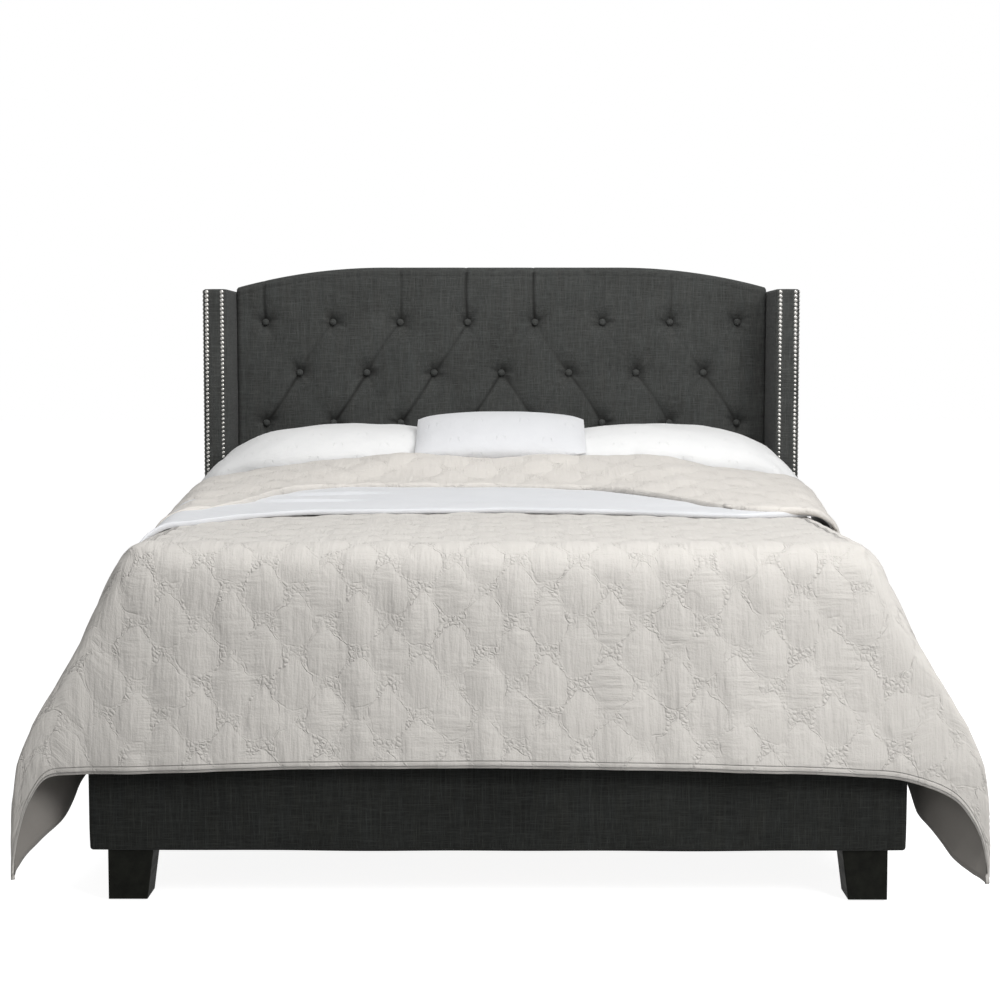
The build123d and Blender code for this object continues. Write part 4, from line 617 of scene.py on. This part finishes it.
def headboard_front():
    """Front cover: columns across, rows up to the arch, then over the rounded edge to the back; at both
    ends it goes straight back, against the wings."""
    front, back = PANEL[LOW][1], PANEL[HIGH][1]
    half, bottom = PANEL[HIGH][0], PANEL[LOW][2]
    across = spread(-half, half, 381)
    rise = [spread(0, 0.5, 26)[:-1], spread(0.5, 0.985, 150), spread(0.985, 1, 10)[1:]]
    x, rise = np.meshgrid(across, np.concatenate(rise))
    z = bottom + (arch(x) - EDGE_ROLL - bottom) * rise
    depth, shade = tufted_depth(x, z)
    seam = 0.0012 * np.exp(-np.abs(arch(x) - z - 0.026) / 0.0035)
    past = np.maximum(np.abs(x) - half + EDGE_ROLL, 0) / EDGE_ROLL
    side = EDGE_ROLL * (1 - np.sqrt(np.clip(1 - past ** 2, 0, 1)))
    face = stacked(x, front + depth + seam + side, z)
    x, turn = across[None], spread(0, np.pi / 2, 8)[1:, None]
    ridge = tufted_depth(x, arch(x) - EDGE_ROLL)[0] + side[-1:]
    lip = front + ridge + EDGE_ROLL * (1 - np.cos(turn))
    crown = arch(x) - EDGE_ROLL + EDGE_ROLL * np.sin(turn) - 0.25 * np.maximum(ridge, 0)
    y0, z0 = lip[-1:], crown[-1:]
    deep = spread(0, 1, 9)[1:, None]
    rear = stacked(x, y0 + (back - y0) * deep, z0 + (arch(x) - z0) * smooth_step(deep, 0, 0.8))
    points = np.concatenate([face, stacked(x, lip, crown), rear])
    ends = []
    for column in (points[:, :1], points[:, -1:]):
        near, far = column.copy(), column.copy()
        near[..., 1] = np.minimum(near[..., 1] + 0.002, back + 0.0003)
        far[..., 1] = back + 0.0006
        ends.append([far, near])
    points = np.concatenate(ends[0] + [points] + ends[1][::-1], axis=1)
    # Painted shade from the buttons and pleats, stored as the "fold" mark that darkens the linen's colour
    fold = np.zeros(points.shape[:2])
    fold[:len(shade), 2:-2] = shade
    piece = surface("headboard_front", points, CHARCOAL, marks={"fold": fold})
    stand_for(piece, "headboard_cover", "upholstery")


def headboard_buttons():
    """Covered buttons: a low dome and its rim, turned round the line into the headboard."""
    angle = spread(0, 2 * np.pi, 17)[:-1]
    radius = np.array([0.0005, 0.003, 0.006, 0.0082, 0.0097, 0.0103, 0.0096, 0.004])[:, None]
    out = np.array([0.0062, 0.006, 0.0052, 0.0038, 0.0018, -0.001, -0.004, -0.006])[:, None]
    seat = PANEL[LOW][1] + BUTTON_SINK - 0.006
    one = stacked(radius * np.cos(angle), -out, radius * np.sin(angle)).reshape(-1, 3)
    index, quads = grid_quads(len(radius), len(angle), wrap=True, flip=True)
    faces = []
    for first in range(0, len(BUTTONS) * len(one), len(one)):
        faces += (quads + first).tolist() + [(index[0, :-1] + first).tolist()]
    every = np.concatenate([one + (x, seat, z) for x, z in BUTTONS])
    stand_for(put_mesh("headboard_button_tops", every, faces, CHARCOAL), "headboard_buttons", "upholstery")


def headboard_rear():
    """Dust cloth over the back: a flat sheet inside the headboard's outline, with a folded edge."""
    half, bottom = BACK[HIGH][0], BACK[LOW][2]
    inner = half - 0.012
    across = np.concatenate([[-half, -half + 0.004], spread(-inner, inner, 60), [half - 0.004, half]])
    rise = np.concatenate([[0, 0.003], spread(0.01, 0.99, 44), [0.997, 1]])
    x, rise = np.meshgrid(across, rise)
    z = bottom + (arch(x) - bottom) * rise
    edge = np.minimum(np.minimum(half - np.abs(x), arch(x) - z), z - bottom)
    y = BACK[LOW][1] + 0.0019 * smooth_step(edge, 0, 0.004) - 0.0012 * smooth_step(edge, 0.012, 0.02)
    y = y + 0.0004 * soft_noise(x, z, 0.3, 21)
    piece = surface("headboard_dust_cloth", stacked(x, y, z), DUST_CLOTH, flip=True)
    stand_for(piece, "headboard_back_cover", "lining")


# Wings, rails, mattress and foundation

# Mattress's rounded edges and corners, and how full every cover below is
MATTRESS_EDGE, MATTRESS_CORNER, FIRM = 0.06, 0.09, 0.9
# Piece, node, material, slot, and shape: radius of the edges and of the corners, step, seed, puff and ripple
WING = (CHARCOAL, "upholstery", 0.007, 0.007, 0.014, 5, 0.0025, 0.0008)
# Side rails and foot rail take the darker rail linen, which is painted shade
SIDE_RAIL = (RAIL_LINEN_PAINTED_SHADE, "rail_fabric", 0.006, 0.006, 0.02, 9, 0.0015, 0.0006)
SOFT_BOXES = (
    ("wing_left", "wing_cover_left", *WING),
    ("wing_right", "wing_cover_right", *WING),
    ("foot_rail", "foot_rail_cover", RAIL_LINEN_PAINTED_SHADE, "rail_fabric", 0.006, 0.006, 0.018, 8, 0.0025, 0.0008),
    ("side_rail_pad_left", "side_rail_cover_left", *SIDE_RAIL),
    ("side_rail_pad_right", "side_rail_cover_right", *SIDE_RAIL),
    ("mattress_body", "mattress", MATTRESS_TICKING, "ticking", MATTRESS_EDGE, MATTRESS_CORNER, 0.03, 11),
    ("foundation_body", "foundation_cover", FOUNDATION_TICKING, "ticking", 0.01, 0.03, 0.03, 12),
)


def mattress_tapes(x, y, z):
    """Tape round the mattress where its sides meet the rounded edges."""
    flat = loop(x, y, 0.003, MATTRESS_CORNER, 0.04)
    for level, name in ((z[0] + MATTRESS_EDGE, "lower"), (z[1] - MATTRESS_EDGE, "upper")):
        path = np.concatenate([flat, np.full((len(flat), 1), level)], 1)
        tape(f"mattress_tape_{name}", path, 0.0045, MATTRESS_TICKING)


def soft_boxes():
    """Wings, rails, mattress with its tapes, and foundation, each in the place of its cover."""
    for name, node, material, slot, *shape in SOFT_BOXES:
        x, y, z = zip(*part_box(node))
        stand_for(soft_box(name, x, y, z, material, *shape), node, slot)
        if node == "mattress":
            mattress_tapes(x, y, z)


# Quilt

# Height, and there the shares of the skirt's outward lean and of the hanging corner's reach
LEVELS = np.array([
    (0.7015, -0.8, 0), (0.6985, -0.55, 0), (0.69, -0.326, 0), (0.672, -0.07, 0.01), (0.655, 0.06, 0.02),
    (0.63, 0.15, 0.05), (0.6, 0.24, 0.1), (0.5, 0.45, 0.33), (0.42, 0.63, 0.57), (0.353, 0.8, 0.77),
    (0.28, 0.97, 0.9), (0.2, 1, 0.97), (0.13, 1, 1), (0.05, 1, 1),
])
HALF, FRONT = MATTRESS[HIGH][0], MATTRESS[LOW][1]
# How far the skirt leans out at most, where the cloth bends down, where the quilt ends behind, how much cloth
# hangs down, what the corner takes of a walk along the skirt, and how far the corners' tips reach outwards
SIDE_FLARE, FRONT_FLARE = 0.073, 0.084
BEND_SIDE, BEND_FRONT = HALF + SIDE_FLARE * LEVELS[0, 1], FRONT - FRONT_FLARE * LEVELS[0, 1]
LENGTH_BACK = FRONT + 1.426
BACK_RUN = LENGTH_BACK - BEND_FRONT
DROP_FRONT, DROP_SIDE = 0.481, 0.506
FAN = 0.30
RIDGE = BEND_SIDE + FAN / 2
TIP_REACH = {-1: 0.121, 1: 0.131}
QUILT_THICK = 0.0075


def quilt_levels(tip_reach):
    """Sections of the quilt's skirt at many heights: for each one a path along the front, out to the
    hanging corner's ridge and back to the side, rounded by a Gaussian mean; returned on an even scale
    of places along the skirt, with the lengths from the middle of the front and from the side's start."""
    samples = 900
    heights = spread(LEVELS[0, 0], 0.04, 90)
    flare, corner = (np.interp(-heights, -LEVELS[:, 0], LEVELS[:, k]) for k in (1, 2))
    side, front = HALF + SIDE_FLARE * flare, FRONT - FRONT_FLARE * flare
    bend = smooth_step(heights[0] - heights, -0.002, 0.03)
    rounding = (0.058 * (1 - corner) ** 2 + 0.013 * corner) * bend
    places = spread(0, BEND_SIDE + FAN + BACK_RUN, 700)
    from_end = np.minimum(np.arange(samples), np.arange(samples)[::-1])
    table = np.empty((len(heights), len(places), 4))
    for k, (x, y, share, width) in enumerate(zip(side, front, corner, rounding)):
        tip = x + tip_reach * share, y + 0.008 * share
        knots = np.array([(0, y), (x - 0.2, y), tip, (x, y + 0.34 - 0.18 * share), (x, LENGTH_BACK)])
        lengths = np.concatenate([[0], np.cumsum(np.hypot(*np.diff(knots, axis=0).T))])
        fine = spread(0, lengths[-1], samples)
        widths = (width + 0.06 * smooth_step(np.abs(fine - lengths[2]), 0.05, 0.25)) / fine[1]
        path = stacked(*(np.interp(fine, lengths, line) for line in knots.T))
        path = blur(path, np.minimum(widths, from_end / 3))
        where = np.interp(places, [0, BEND_SIDE, RIDGE, BEND_SIDE + FAN, places[-1]],
                          [0, BEND_SIDE, lengths[2], lengths[-1] - BACK_RUN, lengths[-1]])
        on_path = (np.interp(where, fine, line) for line in path.T)
        table[k] = stacked(*on_path, where, BACK_RUN - (lengths[-1] - where))
    return heights, places, table


# Distance from the corner's ridge along the skirt and height of the hem, left and right
HEM = {
    -1: ((-0.868, 0.276), (-0.45, 0.273), (-0.25, 0.267), (-0.088, 0.262), (-0.036, 0.258), (-0.026, 0.235),
         (-0.015, 0.15), (0, 0.05), (0.0275, 0.089), (0.063, 0.119), (0.108, 0.147), (0.14, 0.176),
         (0.164, 0.207), (0.23, 0.235), (0.33, 0.25), (2, 0.25)),
    1: ((-0.868, 0.276), (-0.45, 0.270), (-0.25, 0.264), (-0.168, 0.26), (-0.104, 0.254), (-0.06, 0.231),
        (-0.035, 0.207), (-0.025, 0.184), (-0.016, 0.145), (0, 0.046), (0.02, 0.052), (0.067, 0.072),
        (0.116, 0.129), (0.181, 0.177), (0.207, 0.21), (0.28, 0.24), (0.43, 0.25), (2, 0.25)),
}


def hem_height(place, side):
    """Height of the hem at a place along the skirt: level in front, down to the tip and up along the side,
    with its corners rounded by a Gaussian mean."""
    fine = spread(-0.9, 0.6, 1001)
    widths = 0.011 * smooth_step(np.abs(fine), 0.004, 0.03) / (fine[1] - fine[0])
    left, right = (
        np.interp(place - RIDGE, fine, blur(np.interp(fine, *np.array(HEM[k]).T)[:, None], widths)[:, 0])
        for k in (-1, 1)
    )
    return np.where(side < 0, left, right)


def cloth_fall(share):
    """Share of the whole fall reached at a share of the way along the cloth, from the bend to the hem."""
    run = (0, 0.049, 0.098, 0.148, 0.195, 0.245, 1)
    return np.interp(share, run, (0, 0.0085, 0.0335, 0.073, 0.12, 0.174, 1))


def medallions(u, v, wide, tall, shift):
    """Puff of the stitched pattern at a place on the flat cloth, 0 in the stitched bands, 1 in the middle:
    the least distance to two staggered sets of rounded shapes that narrow upwards."""
    rings = []
    for offset in (0.0, 0.5):
        across = ((u - shift[0]) / wide + 0.5 + offset) % 1 - 0.5
        down = ((v - shift[1]) / tall + 0.5 + offset) % 1 - 0.5
        narrow = np.interp(down / MEDALLION_TALL, (-1, -0.25), (NARROW_TOP, 1))
        x, y = np.abs(across / MEDALLION_WIDE / narrow), np.abs(down / MEDALLION_TALL)
        rings.append((x ** FULLNESS + y ** FULLNESS) ** (1 / FULLNESS))
    return 1 - smooth_step(np.minimum(*rings), 0.3, 1.4)


def quilt():
    """Quilt laid over the mattress. Each point of the flat cloth past the bend goes down its own line, by
    its distance from the bend's corner; the corners fan out into hanging folds."""
    p = spread(-(BEND_SIDE + DROP_SIDE), BEND_SIDE + DROP_SIDE, 269)
    q = spread(-DROP_FRONT, BACK_RUN, 181)
    u, v = np.meshgrid(p, q)
    side = np.sign(u)
    a, b = np.maximum(np.abs(u) - BEND_SIDE, 0), np.maximum(-v, 0)
    reach, turn = np.hypot(a, b), np.arctan2(a, b)
    top = reach == 0
    whole = np.minimum(DROP_FRONT / np.maximum(np.cos(turn), 1e-6), DROP_SIDE / np.maximum(np.sin(turn), 1e-6))
    fall = cloth_fall(np.clip(reach / whole, 0, 1))
    place = np.where(b == 0, BEND_SIDE + FAN + v, BEND_SIDE + FAN * turn / (np.pi / 2))
    place = np.where(a == 0, np.abs(u), place)
    z = QUILT_TOP - fall * (QUILT_TOP - hem_height(place, side))
    heights, places, left = quilt_levels(TIP_REACH[-1])
    right = quilt_levels(TIP_REACH[1])[2]
    row = np.clip((heights[0] - z) / (heights[0] - heights[1]), 0, len(heights) - 1.001)
    col = np.clip(place / places[1], 0, len(places) - 1.001)
    found = np.where((u < 0)[..., None], look_up(left, row, col), look_up(right, row, col))
    x, y, from_middle, from_side = np.moveaxis(found, -1, 0)
    points = stacked(np.where(top, u, side * x), np.where(top, BEND_FRONT + v, y), z)
    front_uv = stacked(np.where(top, u, side * from_middle), np.where(top, -v, reach))
    side_uv = stacked(np.where(top, u, side * (BEND_SIDE + reach)), np.where(top, -v, -from_side))
    on_side = place > RIDGE
    uv = np.where(on_side[..., None], side_uv, front_uv)
    calm = 1 - 0.8 * np.exp(-(((place - RIDGE) / 0.09) ** 2))
    wave = 0.006 * soft_noise(place * side + 3, z * 0.25, 0.30, 31) * fall * calm
    wave = wave + 0.0022 * soft_noise(place * side, z * 0.3, 0.09, 32) * smooth_step(fall, 0.02, 0.3) * calm
    lumps = 0.0022 * soft_noise(u, v, 0.30, 33) * smooth_step(np.minimum(BEND_SIDE - np.abs(u), v), 0, 0.1)
    puff = 0.0032 * (medallions(uv[..., 0], uv[..., 1], *QUILT_PATTERN) - 0.6) * (0.35 + 0.65 * calm)
    points = points + grid_normals(points) * (wave + lumps + puff)[..., None]
    hem = np.minimum(p[-1] - np.abs(u), v - q[0])
    piece = surface("quilt_cover", points, QUILTING, uv, marks={"hem": hem})
    quads = loop_vertices(piece.data).reshape(-1, 4)
    across = on_side.ravel()[quads].mean(1)[:, None, None] > 0.5
    uv = np.where(across, side_uv.reshape(-1, 2)[quads], front_uv.reshape(-1, 2)[quads])
    piece.data.uv_layers[0].data.foreach_set("uv", uv.ravel().astype(np.float32))
    thicken(piece, QUILT_THICK)
    # Inner side takes the darker backing: painted shade inside the skirt
    piece.data.materials.append(QUILT_BACKING_PAINTED_SHADE)
    piece.modifiers[0].material_offset = 1
    stand_for(piece, "quilt", "quilt_cotton")


# Folded sheet and upper layer

def over_the_bed(flat, half, radius, level, flare):
    """Across the bed: level to the shoulder, round a quarter circle, then down, leaning out a little.
    Gives x and z for a distance along the cloth from the middle."""
    shoulder, d = half - radius, np.abs(flat)
    angle = np.clip((d - shoulder) / radius, 0, np.pi / 2)
    down = np.maximum(d - shoulder - radius * np.pi / 2, 0)
    x = np.minimum(d, shoulder) + radius * np.sin(angle) + flare * down
    return np.sign(flat) * x, level - radius * (1 - np.cos(angle)) - down


def folded_layer(name, node, material, slot, half, radius, drops, front, back, roll, under, counts, waves,
                 thickness, flare, narrowing):
    """Cloth folded back on itself: its upper side from the back edge to the fold, round the fold, and a
    short way back below. front and back give the place and the height for a distance across; drops are the
    lengths that hang down at the left and the right."""
    across, along = counts
    shoulder = half - radius
    whole = shoulder + radius * np.pi / 2
    left, right = spread(-(whole + drops[0]), 0, across // 2 + 1), spread(0, whole + drops[1], across // 2 + 1)
    flat = np.concatenate([left, right[1:]])
    (fy, fz), (by, bz) = front(flat), back(flat)
    t, turn, tuck = spread(0, 1, along)[:, None], spread(0, np.pi, 8)[1:, None], spread(0, under, 5)[1:, None]
    y = np.concatenate([by + (fy + roll - by) * t, fy + roll - roll * np.sin(turn), fy + roll + tuck])
    level = np.concatenate([
        bz + (fz - bz) * smooth_step(t, 0.0, 1.0), fz - roll * (1 - np.cos(turn)), fz - 2 * roll + 0 * tuck,
    ])
    inward = np.concatenate([0 * t, roll * (1 - np.cos(turn)), 2 * roll + 0 * tuck])
    d = np.broadcast_to(flat, y.shape)
    x, z = over_the_bed(d, half + narrowing * (y - by), radius, level, flare)
    past = smooth_step(np.abs(d), shoulder, whole)
    points = stacked(x - np.sign(d) * inward * past, y, z + inward * past)
    steps = np.linalg.norm(np.diff(points, axis=0), axis=-1)
    v = np.concatenate([np.zeros((1, len(flat))), np.cumsum(steps, axis=0)])
    near = np.concatenate([1 + 0 * t, spread(1, 0, len(turn))[:, None], 0 * tuck])
    points = points - grid_normals(points) * (waves(d, v) * near)[..., None]
    hem = np.minimum(d - flat[0], flat[-1] - d)
    piece = surface(name, points, material, stacked(d, v), flip=True, marks={"hem": hem})
    stand_for(piece, node, slot)
    thicken(piece, thickness)


# Front edges of the sheet and the upper layer: distance across and how far forward each comes there
SHEET_EDGE = (
    (-1, -0.92, -0.86, -0.8, -0.74, -0.68, -0.62, -0.55, -0.45, 0, 0.3, 0.42, 0.56, 0.66, 0.8, 0.95),
    (0.7, 0.68, 0.64, 0.575, 0.49, 0.39, 0.29, 0.16, 0.09, 0.03, 0.09, 0.16, 0.2, 0.17, 0.07, 0),
)
UPPER_EDGE = (
    (-1, -0.9, -0.8, -0.72, -0.66, -0.61, -0.53, -0.41, 0, 0.25, 0.39, 0.5, 0.56, 0.62, 0.72, 0.9, 1.1),
    (0.62, 0.62, 0.6, 0.56, 0.47, 0.34, 0.08, -0.03, -0.02, 0.05, 0.2, 0.4, 0.53, 0.56, 0.53, 0.46, 0.42),
)
# Folds in the sheet: place from its rear edge, lean, height, and where across the bed each fades in and out
SHEET_FOLDS = ((0.31, -0.16, 0.0062, 0.2, 0.4, 0.48, 0.56), (0.44, -0.12, 0.0058, 0.24, 0.46, 0.54, 0.62))


def sweep_forward(d, edge, width):
    """How far forward a fold comes at a distance across, rounded by a Gaussian mean."""
    return blur(np.interp(d, *edge)[:, None], np.full(len(d), width))[:, 0]


def sheet_band():
    """White sheet folded down: a smooth band whose front edge comes forward at the sides."""
    centre = FRONT + 0.826

    def front(d):
        return centre - sweep_forward(d, SHEET_EDGE, 2.5), QUILT_TOP + 0.0125 + 0 * d

    def back(d):
        return centre + 0.55 + 0 * d, QUILT_TOP + 0.036 + 0 * d

    def waves(d, v):
        total = 0.0016 * soft_noise(d, v * 2.2, 0.4, 41) + 0.0008 * soft_noise(d, v, 0.13, 42)
        for start, lean, height, low, high, last, end in SHEET_FOLDS:
            before = v - start - lean * (d + 0.5)
            crest = np.exp(-np.maximum(-before, 0) / 0.05) * (1 - smooth_step(before, -0.016, 0.012))
            crease = np.exp(-((before - 0.012) / 0.013) ** 2)
            stretch = smooth_step(-d, low, high) * (1 - smooth_step(-d, last, end))
            total = total + height * (crest - 0.6 * crease) * stretch
        return total

    folded_layer("sheet_fold", "sheet_band", PERCALE, "sheet_cotton", half=0.835, radius=0.075,
                 drops=(0.13, 0.07), front=front, back=back, roll=0.0065, under=0.1, counts=(240, 150),
                 waves=waves, thickness=0.0016, flare=0.05, narrowing=0.06)


def upper_layer():
    """Quilted layer folded back below the pillows: thick and lumpy, higher in the middle of its rear edge."""
    centre = FRONT + 1.206

    def front(d):
        sweep = sweep_forward(d, UPPER_EDGE, 3.5)
        level = QUILT_TOP + 0.0445 - 0.02 * smooth_step(sweep, 0.05, 0.5)
        return centre - sweep + 0.006 * soft_noise(d, 0 * d, 0.3, 52), level

    def back(d):
        rise = 0.106 - 0.056 * smooth_step(np.abs(d), 0.3, 0.86)
        level = QUILT_TOP + rise + 0.005 * soft_noise(d, 0 * d, 0.25, 53)
        return centre + 0.256 - 0.02 * smooth_step(np.abs(d), 0.5, 0.9), level

    def waves(d, v):
        puff = 0.0026 * (medallions(d, v, *UPPER_PATTERN) - 0.7)
        return puff + 0.0024 * soft_noise(d, v * 1.5, 0.26, 51) + 0.0005 * soft_noise(d, v, 0.09, 52)

    folded_layer("upper_fold", "upper_quilt", UPPER_QUILTING, "quilt_cotton", half=0.862, radius=0.1,
                 drops=(0.1, 0.13), front=front, back=back, roll=0.0095, under=0.09, counts=(300, 70),
                 waves=waves, thickness=0.007, flare=0.1, narrowing=0.075)


# Pillows

def coordinates(mesh):
    """Places of a mesh's vertices, one in each row."""
    flat = np.empty(len(mesh.vertices) * 3)
    mesh.vertices.foreach_get("co", flat)
    return flat.reshape(-1, 3)


def move_to(mesh, places):
    mesh.vertices.foreach_set("co", places.ravel())
    mesh.update()


def pillow_form(length, depth, profile, seam, around, along):
    """Closed pillow: at each share of its length a lens-shaped loop, its upper half taller, drawn in at
    the ends; returned as rings along its length. seam is the share of the height at which the loop is
    widest."""
    s = 0.5 - 0.5 * np.cos(spread(0, np.pi, along))
    rows = stacked(*(np.interp(s, profile[0], row) for row in profile[1:]))
    top, bottom, deep, shift = blur(rows, np.full(along, 2.0)).T[..., None]
    angle = spread(0, 2 * np.pi, around + 1)[:-1]
    middle = bottom + seam * (top - bottom)
    c, si = np.cos(angle), np.sin(angle)
    height = np.where(si > 0, top - middle, middle - bottom) * np.sign(si) * np.abs(si) ** 1.05
    y = deep * depth / 2 * np.sign(c) * np.abs(c) ** 0.86 - shift * depth
    return stacked(s[:, None] * length, y, middle + height)


def ring_uv(rings, step):
    """Places on a pillow's flat cover: along its length and, by even steps, round it."""
    return stacked(rings[..., 0], step * np.arange(1, rings.shape[1] + 1))


def plump(piece, frames, pressure, cap, shrink):
    """Swell a pillow as cloth under pressure, with a little spare fabric that buckles into creases; no
    point moves more than the cap."""
    start = coordinates(piece.data)
    cloth = piece.modifiers.new("cloth", "CLOTH")
    settings = cloth.settings
    settings.use_pressure = True
    settings.uniform_pressure_force = pressure
    settings.shrink_min = shrink
    settings.tension_stiffness = settings.compression_stiffness = 25
    settings.bending_stiffness = 0.4
    settings.effector_weights.gravity = 0
    settings.quality = 5
    cloth.point_cache.frame_start, cloth.point_cache.frame_end = 1, frames
    scene = bpy.context.scene
    for number in range(1, frames + 1):
        scene.frame_set(number)
    graph = bpy.context.evaluated_depsgraph_get()
    move = coordinates(piece.evaluated_get(graph).data) - start
    piece.modifiers.remove(cloth)
    scene.frame_set(1)
    length = np.linalg.norm(move, axis=1, keepdims=True)
    move_to(piece.data, start + move * np.minimum(1, cap / np.maximum(length, 1e-9)))


def rest_on(piece, floor, half):
    """Keep a soft piece above a level, out to a distance from the middle of the bed."""
    at = coordinates(piece.data)
    held = np.abs(at[:, 0]) < half
    at[held, 2] = np.maximum(at[held, 2], floor)
    move_to(piece.data, at)


# Profiles of the pillows: shares of the length, and at each the top, bottom, depth and shift of the loop
BIG_PILLOW = np.array([
    (0, 0.05, 0.14, 0.3, 0.5, 0.69, 0.79, 0.87, 0.93, 0.98, 1),
    (0.34, 0.66, 0.83, 0.95, 1, 0.93, 0.83, 0.65, 0.47, 0.27, 0.16),
    (0.26, 0.06, 0, 0, 0, 0, 0, 0, 0.01, 0.06, 0.12),
    (0.8, 0.9, 0.96, 0.99, 1, 0.965, 0.87, 0.75, 0.52, 0.4, 0.3),
    (0, 0, 0, 0, 0, 0, 0, 0.03, 0.13, 0.145, 0.145),
])
SMALL_TOP = np.array([0.54, 0.68, 0.8, 0.93, 1, 1, 0.93, 0.8, 0.68, 0.54])
SMALL_PILLOW = np.array([
    (0, 0.03, 0.08, 0.2, 0.35, 0.65, 0.8, 0.92, 0.97, 1), SMALL_TOP, 1 - SMALL_TOP,
    (0.84, 0.92, 0.97, 0.99, 1, 1, 0.99, 0.97, 0.92, 0.84), 0 * SMALL_TOP,
])
SMALL_WIDTH, SMALL_DEPTH, SMALL_THICK, SMALL_LEAN = 0.46, 0.24, 0.08, np.radians(24)


def big_pillows():
    """Left and right pillows, lying flat, full in the middle and drooping past the mattress's edge."""
    for side, name in ((-1, "left"), (1, "right")):
        low, high = np.array(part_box(f"pillow_{name}"))
        length, depth, height = high - low
        rings = pillow_form(length - 0.012, depth - 0.02, BIG_PILLOW, 0.41, 72, 96)
        u, w, z = np.moveaxis(rings, -1, 0)
        z = z * (height - 0.004)
        lump = 0.0025 * soft_noise(u + side, w, 0.24, 60 + side)
        lump = lump + 0.001 * soft_noise(u, w + side, 0.08, 63 + side)
        z = z + lump * smooth_step(z, 0.03, 0.12) - 0.032 * smooth_step(u / length, 0.86, 1.0)
        x = side * (min(abs(low[0]), abs(high[0])) + 0.006 + u)
        points = stacked(x, w + high[1] - depth / 2, z + MATTRESS[HIGH][2] + 0.002)
        piece = surface(f"pillow_{name}_case", points, PILLOW_COVER, ring_uv(rings, 0.0165), wrap=True,
                        flip=side < 0, caps=True)
        plump(piece, 14, 1.4, 0.006, shrink=-0.06)
        rest_on(piece, MATTRESS[HIGH][2] + 0.001, HALF - 0.02)
        stand_for(piece, f"pillow_{name}", "pillow_cotton")


def small_pillow():
    """Small pillow leaning on the two big ones, a flat rectangle with round corners."""
    centre = np.mean(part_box("small_pillow"), axis=0)
    rings = pillow_form(SMALL_WIDTH, SMALL_DEPTH, SMALL_PILLOW, 0.5, 56, 72)
    rings[..., 0] -= SMALL_WIDTH / 2
    x, y, z = rings[..., 0], rings[..., 1], (rings[..., 2] - 0.5) * SMALL_THICK
    cos, sin = np.cos(SMALL_LEAN), np.sin(SMALL_LEAN)
    points = stacked(x, centre[1] + y * cos - z * sin, centre[2] + y * sin + z * cos)
    piece = surface("small_pillow_case", points, SMALL_COVER, ring_uv(rings, 0.009), wrap=True, caps=True)
    plump(piece, 12, 1.4, 0.004, shrink=-0.05)
    stand_for(piece, "small_pillow", "pillow_cotton")


headboard_front()
headboard_buttons()
headboard_rear()
soft_boxes()
quilt()
sheet_band()
upper_layer()
big_pillows()
small_pillow()


# Floor, light and camera

FLOOR_GLOW, SKY_LIGHT, FLOOR_HALF, WHITE = 0.9, 0.25, 30, (1, 1, 1, 1)
# Name, place, target, side length in metres and power in watts
LAMPS = (
    ("key", (2.3, -3.2, 2.6), (0.2, -0.2, 0.5), 1.5, 99),
    ("fill", (-0.4, -4.6, 2.4), (0.6, 0.9, 0.9), 2.4, 14),
    ("overhead", (0.3, -1.0, 3.7), (0.2, 0.3, 0.6), 2.4, 74),
)
# Camera's place, focal length and sensor in millimetres, and how far it looks down and to the left in degrees
CAMERA_PLACE, FOCAL, SENSOR, LOOK_DOWN, LOOK_LEFT = (0.0201, -4.7247, 1.0572), 68.04, 36.0, 4.14, 0.24


def studio():
    """Pale floor that the camera sees as white, with the bed's soft shadow on it, under a white sky."""
    f = Finish("studio_floor")
    glow = f.times(f.seen_by("Is Camera Ray", "Is Glossy Ray"), FLOOR_GLOW)
    f.fill(f.shader, {"Emission Color": WHITE, "Emission Strength": glow})
    f.done(f.blend(f.noise(f.place(), 3.0), (0.45, 0.45, 0.45, 1), (0.47, 0.47, 0.47, 1)), specular=0.0)
    mesh = bpy.data.meshes.new("studio_floor")
    corners = [(x * FLOOR_HALF, y * FLOOR_HALF, 0) for x, y in ((-1, -1), (1, -1), (1, 1), (-1, 1))]
    mesh.from_pydata(corners, [], [(0, 1, 2, 3)])
    mesh.materials.append(f.material)
    put_in("studio_floor", mesh)
    world = bpy.data.worlds.new("studio")
    bpy.context.scene.world = world
    world.use_nodes = True
    sky = Nodes(world.node_tree)
    seen = sky.seen_by("Is Camera Ray", "Is Glossy Ray", "Is Transmission Ray")
    strength = sky.between(seen, 0.0, 1.0, SKY_LIGHT, 1.0)
    sky.fill(sky.nodes["Background"], {"Color": WHITE, "Strength": strength})


def lamp(name, place, target, side, power):
    """Soft square lamp aimed at a point."""
    light = bpy.data.lights.new(name, "AREA")
    light.shape, light.size, light.size_y, light.energy = "RECTANGLE", side, side, power
    thing = put_in(name, light)
    thing.location = place
    thing.rotation_euler = (Vector(target) - Vector(place)).to_track_quat("-Z", "Y").to_euler()


def camera():
    """Camera at the photograph's place: low, in front of the foot, looking a little down."""
    view = bpy.data.cameras.new("camera")
    view.lens, view.sensor_width = FOCAL, SENSOR
    thing = put_in("camera", view)
    thing.location = CAMERA_PLACE
    thing.rotation_euler = (np.radians(90 - LOOK_DOWN), 0, np.radians(LOOK_LEFT))
    bpy.context.scene.camera = thing


studio()
for settings in LAMPS:
    lamp(*settings)
camera()
bpy.context.scene.view_settings.view_transform = "Standard"
